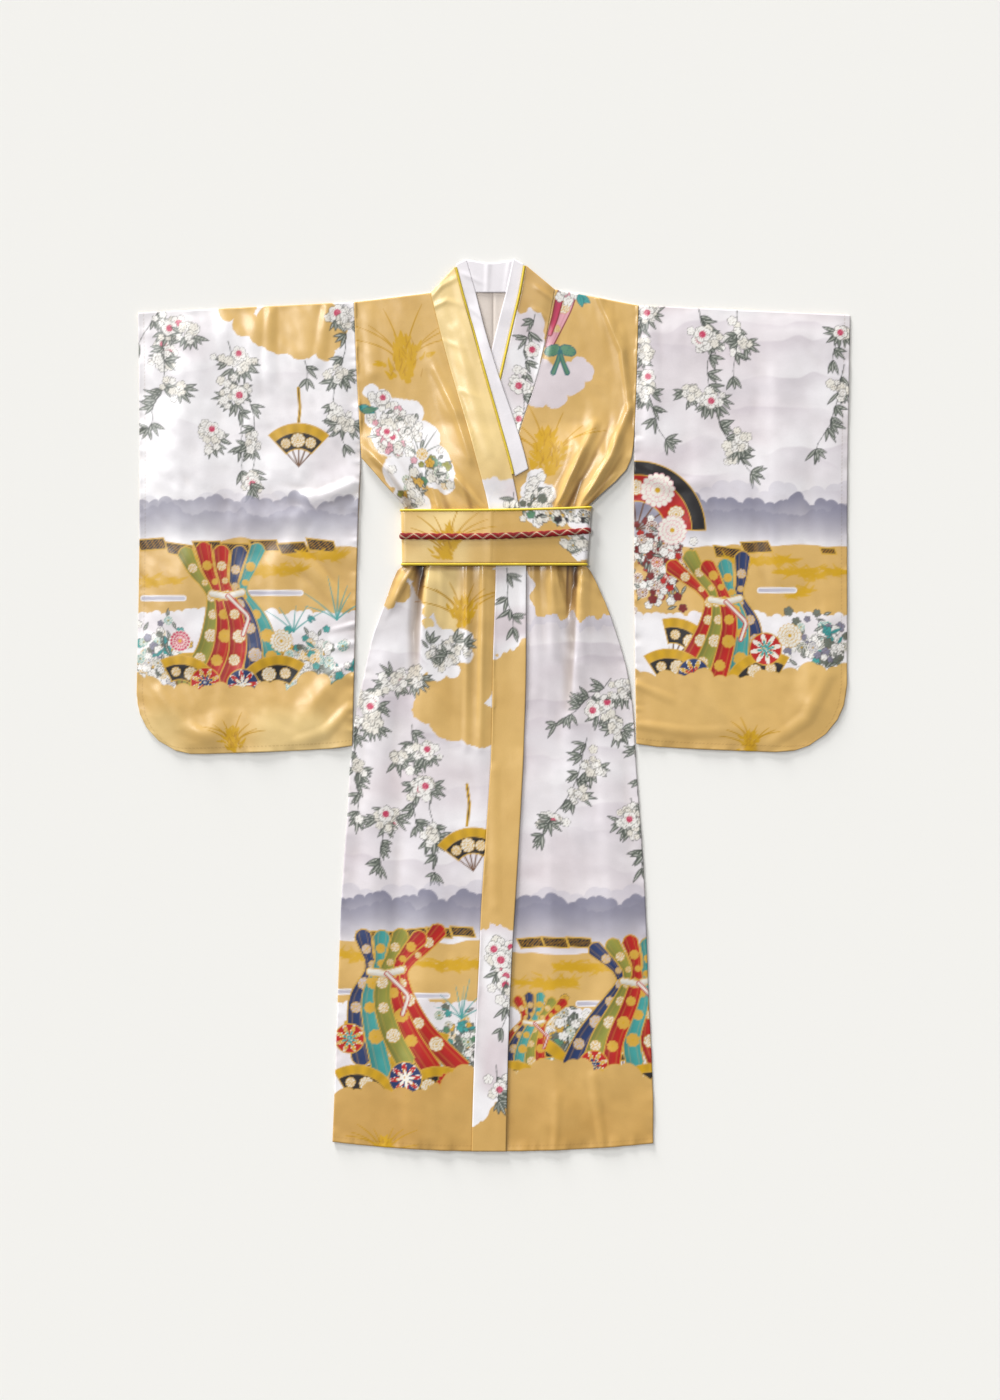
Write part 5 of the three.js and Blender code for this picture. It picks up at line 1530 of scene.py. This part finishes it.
def makeEdgings(ring):
    for node, row, out in (("obi_edging_bottom", 0, -1), ("obi_edging_top", -1, 1)):
        line = ring[row].copy()
        line[:, 1] += out * belt["edgingGap"]
        line[:, 2] = np.where(line[:, 2] > 6, line[:, 2] - belt["thick"] / 2,
                              np.maximum(line[:, 2], belt["edging"]))
        side, up = directions(line, True, np.array([0.0, 1.0, 0.0]))
        thing = sweep(node + "_cord", line, side, up, belt["edging"] * 2, belt["edging"] * 2, cord["sides"],
                      True, paintPiping, piping)
        finishPiece(thing, node)
    for node in ("edging_left", "edging_right"):
        points = cadMesh(node)[0]
        levels = np.arange(points[:, 1].min() + 0.5, points[:, 1].max() - 0.4, 2.5)
        line = []
        for level in levels:
            low, high = sliceSpan(node, 1, level)
            line.append(((low[0] + high[0]) / 2, level, (low[1] + high[1]) / 2 + cord["lift"]))
        line = np.array(line)
        line[1:-1] = (line[:-2] + line[1:-1] * 2 + line[2:]) / 4
        side, up = directions(line, False, np.array([1.0, 0.0, 0.0]))
        thing = sweep(node + "_cord", line, side, up, cord["wide"], cord["high"], cord["sides"],
                      False, paintPiping, piping)
        finishPiece(thing, node)


braid = {"wide": 9.5, "high": 3.4, "period": 23.0, "lift": 1.9, "colour": (150, 12, 14)}


def paintBraid(length, across, above):
    colour = np.tile(linear(braid["colour"]), (len(length), 1))
    phase = (length / braid["period"]) % 1
    zigzag = (np.abs(phase - 0.5) * 4 - 1) * 0.85
    thread = unit(1.4 - np.abs(across - zigzag) / 0.17) * (above > -0.2)
    return colour + (linear((228, 204, 172)) - colour) * thread[:, None]


# Its scalloped edge, as a share of the width
def braidEdge(length):
    return 0.82 + 0.2 * np.abs(np.sin(math.pi * length / braid["period"] * 2))


def makeBraid(ring):
    row = ring[belt["rows"] // 2]
    over = row[row[:, 2] > 8.0]
    over = over[np.argsort(over[:, 0])]
    reach = cadMesh("obi_braid")[0][:, 0]
    xs = np.linspace(reach.min() + 6, reach.max() - 6, 24)
    ys = [sum(corner[0] for corner in sliceSpan("obi_braid", 0, x)) / 2 for x in xs]
    steps = np.concatenate([[0], np.cumsum(np.linalg.norm(np.diff(over, axis=0), axis=1))])
    t = np.arange(0, steps[-1], 1.0)
    line = np.stack([np.interp(t, steps, over[:, k]) for k in range(3)], axis=1)
    line[:, 1] = np.interp(line[:, 0], xs, ys)
    for _ in range(6):
        line[1:-1] = (line[:-2] + line[1:-1] * 2 + line[2:]) / 4
    side, up = directions(line, False, np.array([0.0, 1.0, 0.0]))
    up = np.where(up[:, 2:3] < 0, -up, up)
    line = line + up * braid["lift"]
    thing = sweep("waist_braid", line, side, up, braid["wide"], braid["high"], 20, False, paintBraid,
                  braidMaterial, braidEdge)
    finishPiece(thing, "obi_braid")


print("belt")
braidLook = {"roughness": 0.75, "specular": 0.3, "sheen": 0.2, "coat": 0.0, "weave": 420.0, "variation": 0.6,
             "bump": 1.0, "thread": (1, 1, 1)}
braidMaterial = clothMaterial("red_braid", braidLook)
beltLoop = makeBelt()
makeEdgings(beltLoop)
makeBraid(beltLoop)


# Floor, light and camera

studio = {
    "floor": (246, 245, 241),
    "floorReach": 20000.0,
    "floorLevel": -0.3,
    "lamps": (("key", 1.15, (-0.60, 0.62, 0.50), 0.3), ("sheen", 0.9, (-0.30, 0.26, 0.95), 0.26),
              ("low", 5.0, (-0.34, 0.92, 0.16), 0.3)),
    "worldLight": 0.27,
    "over": (0.00975, 0.0075),
    "distance": 4.96,
    "lens": 85.0,
}


def makeStudio():
    far = studio["floorReach"]
    corners = [(x, y, studio["floorLevel"]) for x, y in ((-far, -far), (far, -far), (far, far), (-far, far))]
    floor = makeMesh("floor", np.array(corners, float), np.array([[0, 1, 2, 3]]))
    material, _, shader = newMaterial("floor", 0.9, 0.1)
    shader.inputs["Base Color"].default_value = (*linear(studio["floor"]), 1)
    floor.data.materials.append(material)
    world = bpy.data.worlds.new("studio")
    world.use_nodes = True
    world.node_tree.nodes["Background"].inputs["Color"].default_value = (1, 0.995, 0.985, 1)
    world.node_tree.nodes["Background"].inputs["Strength"].default_value = studio["worldLight"]
    bpy.context.scene.world = world
    for name, strength, place, softness in studio["lamps"]:
        light = bpy.data.lights.new(name, "SUN")
        light.energy = strength
        light.angle = softness
        lamp = bpy.data.objects.new(name, light)
        lamp.location = place
        lamp.rotation_euler = (-lamp.location).to_track_quat("-Z", "Y").to_euler()
        bpy.context.scene.collection.objects.link(lamp)
    camera = bpy.data.cameras.new("camera")
    camera.lens = studio["lens"]
    camera.sensor_width = 36
    camera.clip_end = 50
    eye = bpy.data.objects.new("camera", camera)
    eye.location = (*studio["over"], studio["distance"])
    bpy.context.scene.collection.objects.link(eye)
    bpy.context.scene.camera = eye
    bpy.context.scene.view_settings.view_transform = "Standard"


print("floor, light and camera")
makeStudio()
